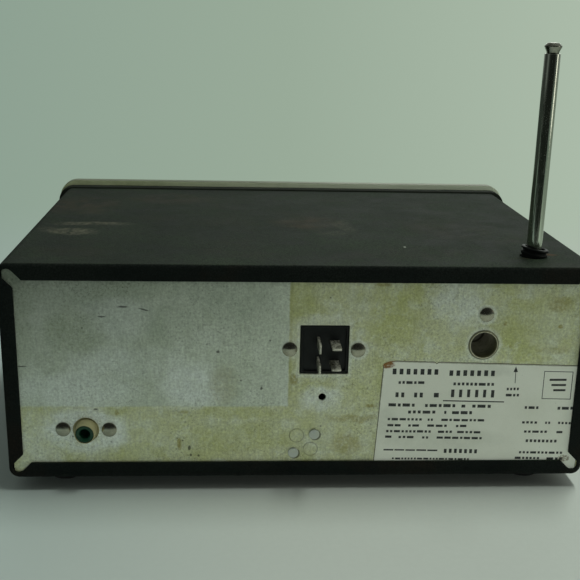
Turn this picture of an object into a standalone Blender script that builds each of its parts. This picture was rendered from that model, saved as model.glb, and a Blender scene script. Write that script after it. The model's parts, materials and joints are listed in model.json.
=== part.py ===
"""Tabletop crystal scanner receiver, 1970s pattern.

Frame: metres, +Z up, front faces -Y, +X to the right seen from the front,
origin at the bottom centre of the whole object. Dimensions below are in
millimetres and are turned into metres by MILLIMETRE.
"""

import math

import bmesh
import bpy
from mathutils import Matrix, Vector

MILLIMETRE = 0.001

# ---------------------------------------------------------------- main sizes
CASE_W, CASE_H, CASE_D = 241.0, 91.0, 178.0  # sleeve, outside
WALL = 1.4  # steel with its vinyl cladding
CASE_R = 4.0  # outside bend radius
FOOT_H = 6.0
REAR_Y = 98.0  # outer plane of the rear lips
LIP_T = 1.0
FIT = 0.4  # gap round pieces that sit in an opening

BASE = FOOT_H  # bottom, top and middle height of the sleeve
TOP = FOOT_H + CASE_H
MIDDLE = FOOT_H + CASE_H / 2
FRONT_Y = REAR_Y - CASE_D
INNER_W, INNER_H = CASE_W - 2 * WALL, CASE_H - 2 * WALL
INNER_R = CASE_R - WALL

# Rear panel, and the plane of the flanges clamped inside it
PANEL_T = 1.2
PANEL_GAP = 0.3  # between lips and rear panel
PANEL_OUT = REAR_Y - LIP_T - PANEL_GAP
PANEL_IN = PANEL_OUT - PANEL_T
FLANGE_OUT = PANEL_IN - 0.35

# Front surround, from the sleeve forwards: bezel, trim ring, recessed faceplate
BEZEL_T, TRIM_T, PLATE_T = 6.0, 6.5, 1.8
SURROUND_GAP = 0.3
PLATE_RECESS = 1.6
BEZEL_BACK = FRONT_Y - SURROUND_GAP
BEZEL_FRONT = BEZEL_BACK - BEZEL_T
TRIM_BACK = BEZEL_FRONT - SURROUND_GAP
TRIM_FRONT = TRIM_BACK - TRIM_T
PLATE_FRONT = TRIM_FRONT + PLATE_RECESS
PLATE_BACK = PLATE_FRONT + PLATE_T
RIM_FRONT = PLATE_BACK + 0.4  # front of the rims that lie behind the faceplate
RIM_BACK = PLATE_BACK + 1.4

TRIM_W, TRIM_BOTTOM, TRIM_TOP = 252.6, BASE - 2.9, TOP + 4.6
TRIM_H = TRIM_TOP - TRIM_BOTTOM
TRIM_Z = (TRIM_BOTTOM + TRIM_TOP) / 2
TRIM_BAND = 7.0
OPEN_W, OPEN_H, OPEN_R = TRIM_W - 2 * TRIM_BAND, TRIM_H - 2 * TRIM_BAND, 4.0

# Rearmost and foremost planes; they balance so that the whole object is centred
BLADE_OUT = REAR_Y + 9.2
KNOB_FACE = -BLADE_OUT

# Pieces on the faceplate
SPEAKER_X = -69.0
WINDOW_X, WINDOW_Z, WINDOW_W, WINDOW_H = 46.0, BASE + 70.0, 124.0, 9.0
BUTTON_Z, LOWER_Z = BASE + 53.0, BASE + 26.0  # button row; wide buttons and knobs
BUTTON_SIZE = 9.0
WIDE_BUTTON_W = 18.0
BUTTON_FIRST_X, BUTTON_PITCH = -8.0, 15.4
BUTTON_X = [BUTTON_FIRST_X + i * BUTTON_PITCH for i in range(8)]
WIDE_BUTTONS = (("scan_button", -4.0), ("manual_button", 24.0))
KNOB_X = {"volume": 62.0, "squelch": 96.0}

# Pieces on the rear panel, as x, z of their centres
SOCKET_X, SOCKET_Z, SOCKET_W, SOCKET_H = -8.45, BASE + 55.65, 20.1, 20.9
PHONO_X, PHONO_Z = 88.8, BASE + 20.8
JACK_X, JACK_Z = -74.0, BASE + 57.9
VENT_HOLE = (-8.1, BASE + 35.2)

LARGE_HEAD, SMALL_HEAD = (2.95, 1.1), (2.2, 0.7)  # radius, height
POWER_RIVETS = (  # name, x, z, head
    ("rivet_power_1", 5.7, BASE + 55.9, LARGE_HEAD),
    ("rivet_power_2", -22.2, BASE + 55.7, LARGE_HEAD),
)
PHONO_RIVETS = (
    ("rivet_phono_1", 98.0, BASE + 21.2, LARGE_HEAD),
    ("rivet_phono_2", 79.3, BASE + 21.0, LARGE_HEAD),
)
JACK_RIVETS = (("rivet_jack", -74.3, BASE + 70.9, LARGE_HEAD),)
CHASSIS_RIVETS = (
    ("rivet_chassis_1", -5.2, BASE + 18.8, SMALL_HEAD),
    ("rivet_chassis_2", 3.4, BASE + 10.5, SMALL_HEAD),
)
RIVETS = POWER_RIVETS + PHONO_RIVETS + JACK_RIVETS + CHASSIS_RIVETS
RIVET_SHANK_R, RIVET_HOLE_R = 1.4, 1.8

ANTENNA_X, ANTENNA_Y = -97.2, REAR_Y - 21.0

for old in list(bpy.data.objects):
    bpy.data.objects.remove(old, do_unlink=True)

assembly = bpy.data.objects.new("scanner", None)
bpy.context.scene.collection.objects.link(assembly)


# ----------------------------------------------------------------- materials
def material(name, colour, roughness, metallic=0):
    made = bpy.data.materials.new(name)
    made.use_nodes = True
    shader = made.node_tree.nodes["Principled BSDF"]
    shader.inputs["Base Color"].default_value = (*colour, 1)
    shader.inputs["Roughness"].default_value = roughness
    shader.inputs["Metallic"].default_value = metallic
    made.diffuse_color = (*colour, 1)
    return made


VINYL = material("black_vinyl", colour=(0.03, 0.034, 0.032), roughness=0.55)
PANEL = material("stained_aluminium", colour=(0.6, 0.61, 0.56), roughness=0.5, metallic=0.6)
ALUMINIUM = material("aluminium", colour=(0.72, 0.72, 0.7), roughness=0.35, metallic=1)
STEEL = material("plated_steel", colour=(0.6, 0.6, 0.58), roughness=0.3, metallic=1)
CHROME = material("chrome", colour=(0.8, 0.8, 0.8), roughness=0.12, metallic=1)
SATIN = material("satin_trim", colour=(0.65, 0.64, 0.58), roughness=0.3, metallic=1)
BLACK = material("black_plastic", colour=(0.015, 0.015, 0.016), roughness=0.4)
IVORY = material("button_ivory", colour=(0.75, 0.72, 0.62), roughness=0.4)
RED = material("red_window", colour=(0.35, 0.01, 0.01), roughness=0.15)
PAPER = material("label_paper", colour=(0.8, 0.8, 0.74), roughness=0.6)
GREEN = material("green_insulator", colour=(0.02, 0.2, 0.12), roughness=0.4)
TIN = material("tinned_shell", colour=(0.5, 0.46, 0.3), roughness=0.4, metallic=0.8)
RUBBER = material("rubber", colour=(0.02, 0.02, 0.02), roughness=0.8)
BOARD = material("circuit_board", colour=(0.25, 0.17, 0.06), roughness=0.6)
CARD = material("speaker_paper", colour=(0.05, 0.05, 0.05), roughness=0.9)
IRON = material("core_iron", colour=(0.2, 0.2, 0.2), roughness=0.5, metallic=0.7)
TAPE = material("winding_tape", colour=(0.5, 0.4, 0.12), roughness=0.6)
NYLON = material("nylon", colour=(0.6, 0.58, 0.5), roughness=0.5)


# --------------------------------------------------------------- mesh helpers
def shade(mesh, degrees):
    """Shades smooth, with edges sharper than the angle kept crisp."""
    mesh.shade_smooth()
    mesh.set_sharp_from_angle(angle=math.radians(degrees))


def to_object(name, shape, finish, origin=(0, 0, 0), smooth=None):
    """Turns a millimetre bmesh into a linked object in metres with its origin at origin."""
    bmesh.ops.remove_doubles(shape, verts=shape.verts, dist=1e-5)
    bmesh.ops.recalc_face_normals(shape, faces=shape.faces)
    to_metres = Matrix.Scale(MILLIMETRE, 4) @ Matrix.Translation(-Vector(origin))
    bmesh.ops.transform(shape, matrix=to_metres, verts=shape.verts)
    mesh = bpy.data.meshes.new(name)
    shape.to_mesh(mesh)
    shape.free()
    if smooth is not None:
        shade(mesh, smooth)
    if finish:
        mesh.materials.append(finish)
    made = bpy.data.objects.new(name, mesh)
    bpy.context.scene.collection.objects.link(made)
    made.location = Vector(origin) * MILLIMETRE
    made.parent = assembly
    return made


def rounded(x, z, width, height, radius, steps):
    """Corner-rounded rectangle round (x, z) as points, anticlockwise."""
    points = []
    for k, (side, level) in enumerate(((1, 1), (-1, 1), (-1, -1), (1, -1))):
        corner_x = x + side * (width / 2 - radius)
        corner_z = z + level * (height / 2 - radius)
        for i in range(steps + 1):
            angle = math.pi / 2 * (k + i / steps)
            points.append(
                (corner_x + radius * math.cos(angle), corner_z + radius * math.sin(angle))
            )
    return points


def disc(x, z, radius, sides=24):
    angles = [2 * math.pi * i / sides for i in range(sides)]
    return [(x + radius * math.cos(angle), z + radius * math.sin(angle)) for angle in angles]


def span(centre, half):
    return centre - half, centre + half


def prism(name, outline, y_start, y_end, finish=None, holes=()):
    """Extrudes an (x, z) outline, with any holes in it, along Y."""
    shape = bmesh.new()
    ring = [shape.verts.new((x, y_start, z)) for x, z in outline]
    if not holes:
        base = [shape.faces.new(ring)]
    else:
        edges = [shape.edges.new((ring[i - 1], ring[i])) for i in range(len(ring))]
        for loop in holes:
            inner = [shape.verts.new((x, y_start, z)) for x, z in loop]
            edges += [shape.edges.new((inner[i - 1], inner[i])) for i in range(len(inner))]
        filled = bmesh.ops.triangle_fill(shape, use_beauty=True, use_dissolve=False, edges=edges)
        base = [item for item in filled["geom"] if isinstance(item, bmesh.types.BMFace)]
    moved = bmesh.ops.extrude_face_region(shape, geom=base)
    ends = [item for item in moved["geom"] if isinstance(item, bmesh.types.BMVert)]
    bmesh.ops.translate(shape, verts=ends, vec=(0, y_end - y_start, 0))
    return to_object(name, shape, finish)


def box(name, x_span, y_span, z_span, finish=None):
    (left, right), (bottom, top) = x_span, z_span
    outline = [(left, bottom), (right, bottom), (right, top), (left, top)]
    return prism(name, outline, *y_span, finish)


def stepped_block(name, x, z, levels, finish, origin):
    """Joins rectangles round (x, z), given as (half width, half height, y), into one solid."""
    shape = bmesh.new()
    corners = ((-1, -1), (1, -1), (1, 1), (-1, 1))
    loops = [
        [shape.verts.new((x + i * half_w, y, z + j * half_h)) for i, j in corners]
        for half_w, half_h, y in levels
    ]
    shape.faces.new(loops[0])
    shape.faces.new(loops[-1])
    for low, high in zip(loops, loops[1:]):
        for i in range(4):
            j = (i + 1) % 4
            shape.faces.new((low[i], low[j], high[j], high[i]))
    return to_object(name, shape, finish, origin)


def lathe(name, profile, sides, place, axis, finish=None, smooth=40, closed=False, ripple=None):
    """Turns (radius, along) points round an axis through place, which is also the origin.

    A closed profile makes a ring. ripple(i, radius) scales the radius of point i of a ring.
    """
    shape = bmesh.new()
    turn = Matrix.Rotation(-math.pi / 2, 4, "X") if axis == "Y" else Matrix.Identity(4)
    rings = []
    for radius, along in profile:
        if radius < 1e-9:
            rings.append([shape.verts.new((0, 0, along))])
            continue
        ring = []
        for i in range(sides):
            angle = 2 * math.pi * i / sides
            reach = radius * (ripple(i, radius) if ripple else 1)
            point = (reach * math.cos(angle), reach * math.sin(angle), along)
            ring.append(shape.verts.new(point))
        rings.append(ring)
    pairs = list(zip(rings, rings[1:]))
    if closed:
        pairs.append((rings[-1], rings[0]))
    for low, high in pairs:
        if len(low) == 1 and len(high) == 1:
            continue
        for i in range(sides):
            j = (i + 1) % sides
            if len(low) == 1:
                shape.faces.new((low[0], high[j], high[i]))
            elif len(high) == 1:
                shape.faces.new((low[i], low[j], high[0]))
            else:
                shape.faces.new((low[i], low[j], high[j], high[i]))
    bmesh.ops.transform(shape, matrix=Matrix.Translation(place) @ turn, verts=shape.verts)
    return to_object(name, shape, finish, place, smooth)


def rod(name, radius, sides, place, axis, start, end, finish=None):
    profile = ((0, start), (radius, start), (radius, end), (0, end))
    return lathe(name, profile, sides, place, axis, finish)


def combine(target, others, operation):
    """Applies a boolean with each of the other solids in turn, and removes them."""
    for other in others:
        modifier = target.modifiers.new(other.name, "BOOLEAN")
        modifier.operation = operation
        modifier.solver = "EXACT"
        modifier.object = other
        bpy.context.view_layer.update()
        baked = bpy.data.meshes.new_from_object(
            target.evaluated_get(bpy.context.evaluated_depsgraph_get())
        )
        target.modifiers.clear()
        target.data = baked
        bpy.data.objects.remove(other, do_unlink=True)


def cut(target, *others):
    combine(target, others, "DIFFERENCE")


def join(target, *others):
    combine(target, others, "UNION")


def cut_rivet_holes(target, rivets, start, end):
    """Start and end are measured along Y from the inside of the rear panel."""
    for _, x, z, _ in rivets:
        cut(target, rod("rivet_hole", RIVET_HOLE_R, 12, (x, PANEL_IN, z), "Y", start, end))


# -------------------------------------------------------------------- sleeve
LIP_TOP, LIP_BOTTOM, LIP_SIDE = 6.8, 6.6, 6.25  # widths of the rear lips
SLOT_R = 2.4  # half width of the mitre slots between lips
SLOT_START_X, SLOT_TIP_X = 112.5, 118.0
SLOT_HEIGHTS = ((TOP - 8.45, TOP - 3.0), (BASE + 8.65, BASE + 3.2))  # start z, tip z
SLOT_OVERRUN = 5  # the cutter reaches this far back into the window
ANTENNA_HOLE_R = 5.65


def slot_outline(start_x, start_z, tip_x, tip_z):
    """Round-ended slot from inside the window towards the bend at a corner."""
    along = Vector((tip_x - start_x, tip_z - start_z)).normalized()
    across = Vector((-along.y, along.x))
    end = Vector((tip_x, tip_z)) - along * SLOT_R
    start = Vector((start_x, start_z)) - along * SLOT_OVERRUN
    first = math.atan2(-across.y, -across.x)
    angles = [first + math.pi * i / 8 for i in range(9)]
    arc = [(end.x + SLOT_R * math.cos(a), end.y + SLOT_R * math.sin(a)) for a in angles]
    return [tuple(start - across * SLOT_R), *arc, tuple(start + across * SLOT_R)]


def build_sleeve():
    outside = rounded(0, MIDDLE, CASE_W, CASE_H, CASE_R, 5)
    inside = rounded(0, MIDDLE, INNER_W, INNER_H, INNER_R, 5)
    sleeve = prism("cabinet_sleeve", outside, FRONT_Y, REAR_Y, VINYL)
    cut(
        sleeve,
        prism("sleeve_hollow", inside, FRONT_Y - 5, REAR_Y - LIP_T),
        box(
            "sleeve_window",
            span(0, CASE_W / 2 - LIP_SIDE),
            span(REAR_Y, 5),
            (BASE + LIP_BOTTOM, TOP - LIP_TOP),
        ),
    )
    for side in (-1, 1):
        for start_z, tip_z in SLOT_HEIGHTS:
            outline = slot_outline(side * SLOT_START_X, start_z, side * SLOT_TIP_X, tip_z)
            cut(sleeve, prism("sleeve_slot", outline, REAR_Y - 1.6, REAR_Y + 3))
    place = (ANTENNA_X, ANTENNA_Y, TOP)
    cut(sleeve, rod("antenna_hole", ANTENNA_HOLE_R, 24, place, "Z", -4, 4))
    shade(sleeve.data, 30)


# ---------------------------------------------------------------- rear panel
# Label outline, x and z. It runs under the -X and lower lips, and its top edge
# slopes by about 1.4 degrees.
LABEL = (
    (-34.6, BASE + 49.0), (-33.3, BASE + 47.6), (-30.5, BASE + 2.4), (-118.0, BASE + 2.4),
    (-118.0, BASE + 48.8), (-115.6, BASE + 48.95), (-35.2, BASE + 50.9),
)
RIVET_LIFT = 0.15  # head above the panel
RIVET_DEPTH = 4.4  # shank below the head


def build_rear_panel():
    holes = [
        rounded(SOCKET_X, SOCKET_Z, SOCKET_W, SOCKET_H, 0.5, 2),
        disc(PHONO_X, PHONO_Z, 5.2),
        disc(JACK_X, JACK_Z, 5.6),
        disc(*VENT_HOLE, 1.55, 16),
    ]
    holes += [disc(x, z, RIVET_HOLE_R, 12) for _, x, z, _ in RIVETS]
    outline = rounded(0, MIDDLE, INNER_W - 2 * FIT, INNER_H - 2 * FIT, INNER_R - FIT, 3)
    panel = prism("rear_panel", outline, PANEL_IN, PANEL_OUT, PANEL, holes)
    shade(panel.data, 30)
    prism("rating_label", LABEL, PANEL_OUT + 0.06, PANEL_OUT + 0.2, PAPER)


def build_rivets():
    """Domed heads on plain shanks."""
    for name, x, z, (radius, height) in RIVETS:
        profile = (
            (0, -RIVET_DEPTH),
            (RIVET_SHANK_R, -RIVET_DEPTH),
            (RIVET_SHANK_R, 0),
            (radius, 0),
            (radius * 0.97, height * 0.32),
            (radius * 0.84, height * 0.68),
            (radius * 0.55, height * 0.92),
            (0, height),
        )
        lathe(name, profile, 20, (x, PANEL_OUT + RIVET_LIFT, z), "Y", STEEL)


# ------------------------------------------------------------- power connector
BLADES = (  # x, z, width, height
    (-5.9, BASE + 58.9, 0.8, 3.8),
    (-12.6, BASE + 58.9, 3.8, 0.8),
    (-5.9, BASE + 50.3, 0.8, 3.8),
    (-12.6, BASE + 50.3, 3.8, 0.8),
)
BLADE_IN = PANEL_OUT - 12.5
BLADE_NOSE = 0.8  # length of the tapered end
TAPER_BROAD, TAPER_THIN = 0.44, 0.1  # taken off each side, across the breadth and thickness
SOCKET_FIT = 0.35  # round the body, and round each blade
SOCKET_FLANGE_T = 1.6
SOCKET_RIM = 1.2  # round the pocket


def build_power_socket():
    socket = box(
        "power_socket_body",
        span(SOCKET_X, SOCKET_W / 2 - SOCKET_FIT),
        (PANEL_OUT - 16, PANEL_OUT - 0.5),
        span(SOCKET_Z, SOCKET_H / 2 - SOCKET_FIT),
        BLACK,
    )
    flange = rounded(SOCKET_X, SOCKET_Z, 36.5, 27.0, 5, 3)
    join(socket, prism("socket_flange", flange, FLANGE_OUT - SOCKET_FLANGE_T, FLANGE_OUT))
    pocket_w, pocket_h = SOCKET_W - 2 * SOCKET_RIM, SOCKET_H - 2 * SOCKET_RIM
    pocket = rounded(SOCKET_X, SOCKET_Z, pocket_w, pocket_h, 1.5, 3)
    cut(socket, prism("socket_pocket", pocket, PANEL_OUT - 3.2, PANEL_OUT + 2))
    for x, z, width, height in BLADES:
        x_span = span(x, width / 2 + SOCKET_FIT)
        z_span = span(z, height / 2 + SOCKET_FIT)
        cut(socket, box("blade_slot", x_span, (PANEL_OUT - 13, PANEL_OUT), z_span))
    cut_rivet_holes(socket, POWER_RIVETS, -4, 1)


def build_power_blades():
    for i, (x, z, width, height) in enumerate(BLADES):
        taper_x = TAPER_BROAD if width > height else TAPER_THIN
        taper_z = TAPER_BROAD if height > width else TAPER_THIN
        levels = (
            (width / 2, height / 2, BLADE_IN),
            (width / 2, height / 2, BLADE_OUT - BLADE_NOSE),
            (width / 2 - taper_x, height / 2 - taper_z, BLADE_OUT),
        )
        stepped_block(f"power_blade_{i + 1}", x, z, levels, STEEL, (x, PANEL_OUT, z))


# ----------------------------------------------------------------- rear jacks
PHONO_FLANGE_T = 1.2
# Profiles: radius, distance behind the outer face of the rear panel
PHONO_INSULATOR = (
    (0, -7.2), (3.4, -7.2), (3.4, 4.6), (3.1, 4.9), (1.95, 4.9), (1.8, 4.5), (1.8, -5.0),
    (0, -5.0),
)
JACK_SHELL = (
    (5.2, -24.0), (5.2, 0.12), (5.9, 0.12), (5.95, 0.45), (5.7, 0.75), (5.2, 0.8),
    (4.95, 0.5), (4.8, -0.6), (4.8, -22.6), (2.2, -22.6), (2.2, -24.0),
)
JACK_CORE = (
    (1.3, -21.0), (4.4, -21.0), (4.4, -18.0), (2.2, -18.0), (2.0, -14.5), (1.3, -14.5),
)


def build_phono_jack():
    place = (PHONO_X, PANEL_OUT, PHONO_Z)
    flange = rounded(PHONO_X, PHONO_Z, 28.0, 11.5, 5.7, 5)
    phono = prism("phono_jack_shell", flange, FLANGE_OUT - PHONO_FLANGE_T, FLANGE_OUT, TIN)
    join(
        phono,
        rod("phono_boss", 4.8, 32, place, "Y", -2.0, -0.4),
        rod("phono_barrel", 4.2, 32, place, "Y", -9.0, 5.2),
    )
    cut(phono, rod("phono_bore", 3.75, 32, place, "Y", -7.6, 8))
    cut_rivet_holes(phono, PHONO_RIVETS, -4, 1)
    shade(phono.data, 35)
    lathe("phono_jack_insulator", PHONO_INSULATOR, 28, place, "Y", GREEN)


def build_antenna_jack():
    place = (JACK_X, PANEL_OUT, JACK_Z)
    lathe("antenna_jack_shell", JACK_SHELL, 32, place, "Y", STEEL, closed=True)
    lathe("antenna_jack_core", JACK_CORE, 24, place, "Y", BLACK, closed=True)


# --------------------------------------------------------------------- antenna
ANTENNA_BASE_Z = 40.0
ANTENNA_FLOOR = 3.0  # closed bottom of the outer tube
ANTENNA_TOP = TOP + 81.0  # top of the outer tube
ANTENNA_SIDES = 20
OUTER_R, OUTER_BORE, OUTER_BEVEL = 3.2, 2.85, 0.3
INNER_TUBES = (("antenna_tube_2", 2.6, 2.25), ("antenna_tube_3", 2.0, 1.65))  # outer, bore radius
INNER_DROP, INNER_BEVEL = 0.3, 0.12  # inner tubes end below the outer one
ROD_R, ROD_RISE = 1.4, 3.4  # the rod ends above the outer tube
TIP_Z = ANTENNA_TOP + 0.35
TIP_PROFILE = (  # radius, height above TIP_Z
    (1.75, 0), (2.32, 0), (2.36, 0.25), (3.38, 3.1), (3.52, 3.35), (3.52, 3.9),
    (3.2, 4.45), (2.6, 4.85), (0, 4.95), (0, 3.6), (1.75, 3.6),
)
GROMMET_TILT = math.radians(10.0)
GROMMET_LIFT = 0.1
GROMMET_PROFILE = (  # radius, height
    (4.2, -3.0), (5.05, -3.0), (5.05, 1.9), (5.2, 2.4), (5.85, 2.7), (5.9, 3.3),
    (5.5, 3.65), (4.5, 3.7), (4.2, 3.4),
)


def build_antenna():
    """Outer tube, two tubes and a rod nested in it, each starting 1 mm higher, and the tip."""
    length = ANTENNA_TOP - ANTENNA_BASE_Z
    profile = (
        (0, 0),
        (OUTER_R, 0),
        (OUTER_R, length - OUTER_BEVEL),
        (OUTER_R - OUTER_BEVEL * 0.6, length),
        (OUTER_BORE, length),
        (OUTER_BORE, ANTENNA_FLOOR),
        (0, ANTENNA_FLOOR),
    )
    place = (ANTENNA_X, ANTENNA_Y, ANTENNA_BASE_Z)
    lathe("antenna_tube_1", profile, ANTENNA_SIDES, place, "Z", CHROME)

    nested_z = ANTENNA_BASE_Z + ANTENNA_FLOOR
    for name, outer, bore in INNER_TUBES:
        nested_z += 1
        length = ANTENNA_TOP - INNER_DROP - nested_z
        profile = (
            (outer, 0),
            (outer, length - INNER_BEVEL),
            (outer - INNER_BEVEL, length),
            (bore, length),
            (bore, 0),
        )
        place = (ANTENNA_X, ANTENNA_Y, nested_z)
        lathe(name, profile, ANTENNA_SIDES, place, "Z", CHROME, closed=True)

    nested_z += 1
    place = (ANTENNA_X, ANTENNA_Y, nested_z)
    length = ANTENNA_TOP + ROD_RISE - nested_z
    rod("antenna_rod", ROD_R, ANTENNA_SIDES, place, "Z", 0, length, CHROME)
    place = (ANTENNA_X, ANTENNA_Y, TIP_Z)
    lathe("antenna_tip", TIP_PROFILE, 32, place, "Z", CHROME, closed=True)


def build_antenna_mounts():
    """Grommet in the sleeve, leaning towards -X, and the socket at the antenna's foot."""
    grommet = lathe("antenna_grommet", GROMMET_PROFILE, 28, (0, 0, 0), "Z", BLACK, closed=True)
    grommet.rotation_euler = (0, -GROMMET_TILT, 0)
    grommet.location = Vector((ANTENNA_X, ANTENNA_Y, TOP + GROMMET_LIFT)) * MILLIMETRE
    z_span = (ANTENNA_BASE_Z - 10, ANTENNA_BASE_Z + 16)
    base = box("antenna_base_socket", span(ANTENNA_X, 8), span(ANTENNA_Y, 8), z_span, NYLON)
    place = (ANTENNA_X, ANTENNA_Y, 0)
    cut(base, rod("base_bore", 3.6, 20, place, "Z", ANTENNA_BASE_Z - 1, ANTENNA_BASE_Z + 20))


# ------------------------------------------------------------- front surround
BEZEL_W, BEZEL_BOTTOM, BEZEL_TOP = 251.6, BASE - 2.6, TOP + 2.3
SKIRT_PLAY = 0.9  # skirt smaller than the inside of the sleeve
PLATE_OUTLINE = rounded(0, TRIM_Z, OPEN_W - 2 * FIT, OPEN_H - 2 * FIT, OPEN_R - FIT, 4)


def build_bezel():
    """Flat ring with a ledge in front for the faceplate and a skirt behind, in the sleeve."""
    opening = [rounded(0, TRIM_Z, OPEN_W - 9.6, OPEN_H - 9.5, 3, 3)]
    bezel_z = (BEZEL_BOTTOM + BEZEL_TOP) / 2
    outline = rounded(0, bezel_z, BEZEL_W, BEZEL_TOP - BEZEL_BOTTOM, 8.0, 6)
    skirt = rounded(0, MIDDLE, INNER_W - SKIRT_PLAY, INNER_H - SKIRT_PLAY, 2.1, 4)
    ledge_front, ledge_back = PLATE_BACK + 0.3, BEZEL_FRONT + 1.0
    bezel = prism("front_bezel", outline, BEZEL_FRONT, BEZEL_BACK, BLACK, opening)
    join(
        bezel,
        prism("bezel_ledge", PLATE_OUTLINE, ledge_front, ledge_back, holes=opening),
        prism("bezel_skirt", skirt, BEZEL_BACK - 1.0, FRONT_Y + 6.0, holes=opening),
    )
    shade(bezel.data, 30)


def build_trim():
    outline = rounded(0, TRIM_Z, TRIM_W, TRIM_H, 9.0, 8)
    opening = rounded(0, TRIM_Z, OPEN_W, OPEN_H, OPEN_R, 4)
    trim = prism("trim_ring", outline, TRIM_FRONT, TRIM_BACK, SATIN, [opening])
    shade(trim.data, 30)


# ------------------------------------------------------------------ faceplate
GRILLE_W, GRILLE_H, GRILLE_R = 83.0, 69.0, 3.0  # its opening in the faceplate
GRILLE_BACK = PLATE_BACK + 1.6
GRILLE_SLOTS = 10
GRILLE_PITCH = 6.3
GRILLE_SLOT_HALF_W, GRILLE_SLOT_HALF_H = 37, 1.7
BUTTON_FACE = PLATE_FRONT - 6.5
BUTTON_CAP = (  # growth on every side, y: softened front edge, straight sides, hidden rim
    (-0.9, BUTTON_FACE), (-0.3, BUTTON_FACE + 0.35), (0, BUTTON_FACE + 1.2),
    (0, RIM_FRONT), (1.2, RIM_FRONT), (1.2, RIM_BACK),
)
STEM_HALF = 2.0
STEM_BACK = FRONT_Y - 1.0


def build_faceplate():
    button_hole = BUTTON_SIZE + 2 * FIT
    wide_hole = WIDE_BUTTON_W + 2 * FIT
    holes = [
        rounded(SPEAKER_X, TRIM_Z, GRILLE_W, GRILLE_H, GRILLE_R, 3),
        rounded(WINDOW_X, WINDOW_Z, WINDOW_W + 2 * FIT, WINDOW_H + 2 * FIT, 1.5, 2),
    ]
    holes += [rounded(x, BUTTON_Z, button_hole, button_hole, 0.8, 2) for x in BUTTON_X]
    holes += [rounded(x, LOWER_Z, wide_hole, button_hole, 0.8, 2) for _, x in WIDE_BUTTONS]
    holes += [disc(x, LOWER_Z, 4.9, 20) for x in KNOB_X.values()]
    prism("faceplate", PLATE_OUTLINE, PLATE_FRONT, PLATE_BACK, ALUMINIUM, holes)


def build_grille():
    outline = rounded(
        SPEAKER_X, TRIM_Z, GRILLE_W - 2 * FIT, GRILLE_H - 2 * FIT, GRILLE_R - FIT, 3
    )
    rim = rounded(SPEAKER_X, TRIM_Z, 86.0, 72.5, 3.0, 3)
    grille = prism("speaker_grille", outline, PLATE_FRONT - 0.7, GRILLE_BACK, BLACK)
    join(grille, prism("grille_rim", rim, RIM_FRONT, GRILLE_BACK))
    x_span = span(SPEAKER_X, GRILLE_SLOT_HALF_W)
    y_span = (PLATE_FRONT - 4, PLATE_BACK + 4)
    for i in range(GRILLE_SLOTS):
        z = TRIM_Z + (i - (GRILLE_SLOTS - 1) / 2) * GRILLE_PITCH
        cut(grille, box("grille_slot", x_span, y_span, span(z, GRILLE_SLOT_HALF_H)))


def build_window():
    outline = rounded(WINDOW_X, WINDOW_Z, WINDOW_W, WINDOW_H, 1.2, 2)
    rim = rounded(WINDOW_X, WINDOW_Z, WINDOW_W + 3.6, WINDOW_H + 3.0, 1.5, 2)
    window = prism("lamp_window", outline, PLATE_FRONT - 0.5, RIM_BACK, RED)
    join(window, prism("window_rim", rim, RIM_FRONT, RIM_BACK))


def build_button(name, x, z, width):
    """Cap with a rim behind the faceplate that keeps it in, and a stem."""
    levels = [(width / 2 + grow, BUTTON_SIZE / 2 + grow, y) for grow, y in BUTTON_CAP]
    levels += [(STEM_HALF, STEM_HALF, RIM_BACK), (STEM_HALF, STEM_HALF, STEM_BACK)]
    stepped_block(name, x, z, levels, IVORY, (x, BUTTON_FACE, z))


def build_buttons():
    for i, x in enumerate(BUTTON_X):
        build_button(f"channel_button_{i + 1}", x, BUTTON_Z, BUTTON_SIZE)
    for name, x in WIDE_BUTTONS:
        build_button(name, x, LOWER_Z, WIDE_BUTTON_W)


# ------------------------------------------------------------ knobs and pots
POT_PROFILE = (  # radius, y: body behind the faceplate, threaded through by the bush
    (3.25, PLATE_BACK + 9.0), (9.0, PLATE_BACK + 9.0), (9.0, RIM_FRONT),
    (4.45, RIM_FRONT), (4.45, PLATE_FRONT - 2.4), (3.25, PLATE_FRONT - 2.4),
)
KNOB_R = 12.0
KNOB_BACK = PLATE_FRONT - 0.7 - KNOB_FACE  # measured from the knob's face
BORE_FRONT = PLATE_FRONT - 4.2 - KNOB_FACE  # where the wide hollow narrows to the shaft bore
KNOB_PROFILE = (  # radius, distance behind the knob's face
    (0, 0), (7.6, 0), (7.9, 0.3), (8.0, 0.55), (8.6, 0.7), (9.2, 1.4),
    (9.9, 10.8), (10.1, 11.6), (11.6, 12.2), (KNOB_R, 12.8), (KNOB_R, KNOB_BACK),
    (6.4, KNOB_BACK), (6.4, BORE_FRONT), (3.3, BORE_FRONT), (3.3, 2.0), (0, 2.0),
)
SHAFT_R, SHAFT_FRONT = 2.9, 2.4
SHAFT_BACK = PLATE_BACK + 10.5 - KNOB_FACE


def flutes(i, radius):
    """Every third point of the grip is drawn in, which gives it its ribs."""
    return 0.955 if i % 3 == 0 and 8.5 < radius < 10.5 else 1.0


def build_control(name, x):
    """Fixed pot, and a shaft and knob that turn with an empty on their axis."""
    lathe(f"{name}_pot", POT_PROFILE, 24, (x, 0, LOWER_Z), "Y", ALUMINIUM, closed=True)
    place = (x, KNOB_FACE, LOWER_Z)
    axis = bpy.data.objects.new(f"{name}_axis", None)
    bpy.context.scene.collection.objects.link(axis)
    axis.location = Vector(place) * MILLIMETRE
    axis.parent = assembly
    shaft = rod(f"{name}_shaft", SHAFT_R, 20, place, "Y", SHAFT_FRONT, SHAFT_BACK, STEEL)
    knob = lathe(
        f"{name}_knob", KNOB_PROFILE, 36, place, "Y", BLACK, smooth=28, ripple=flutes
    )
    for piece in (shaft, knob):
        piece.parent = axis
        piece.location = (0, 0, 0)


# --------------------------------------------------------------- loudspeaker
SPEAKER_FRONT = PLATE_BACK + 2.4
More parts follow.
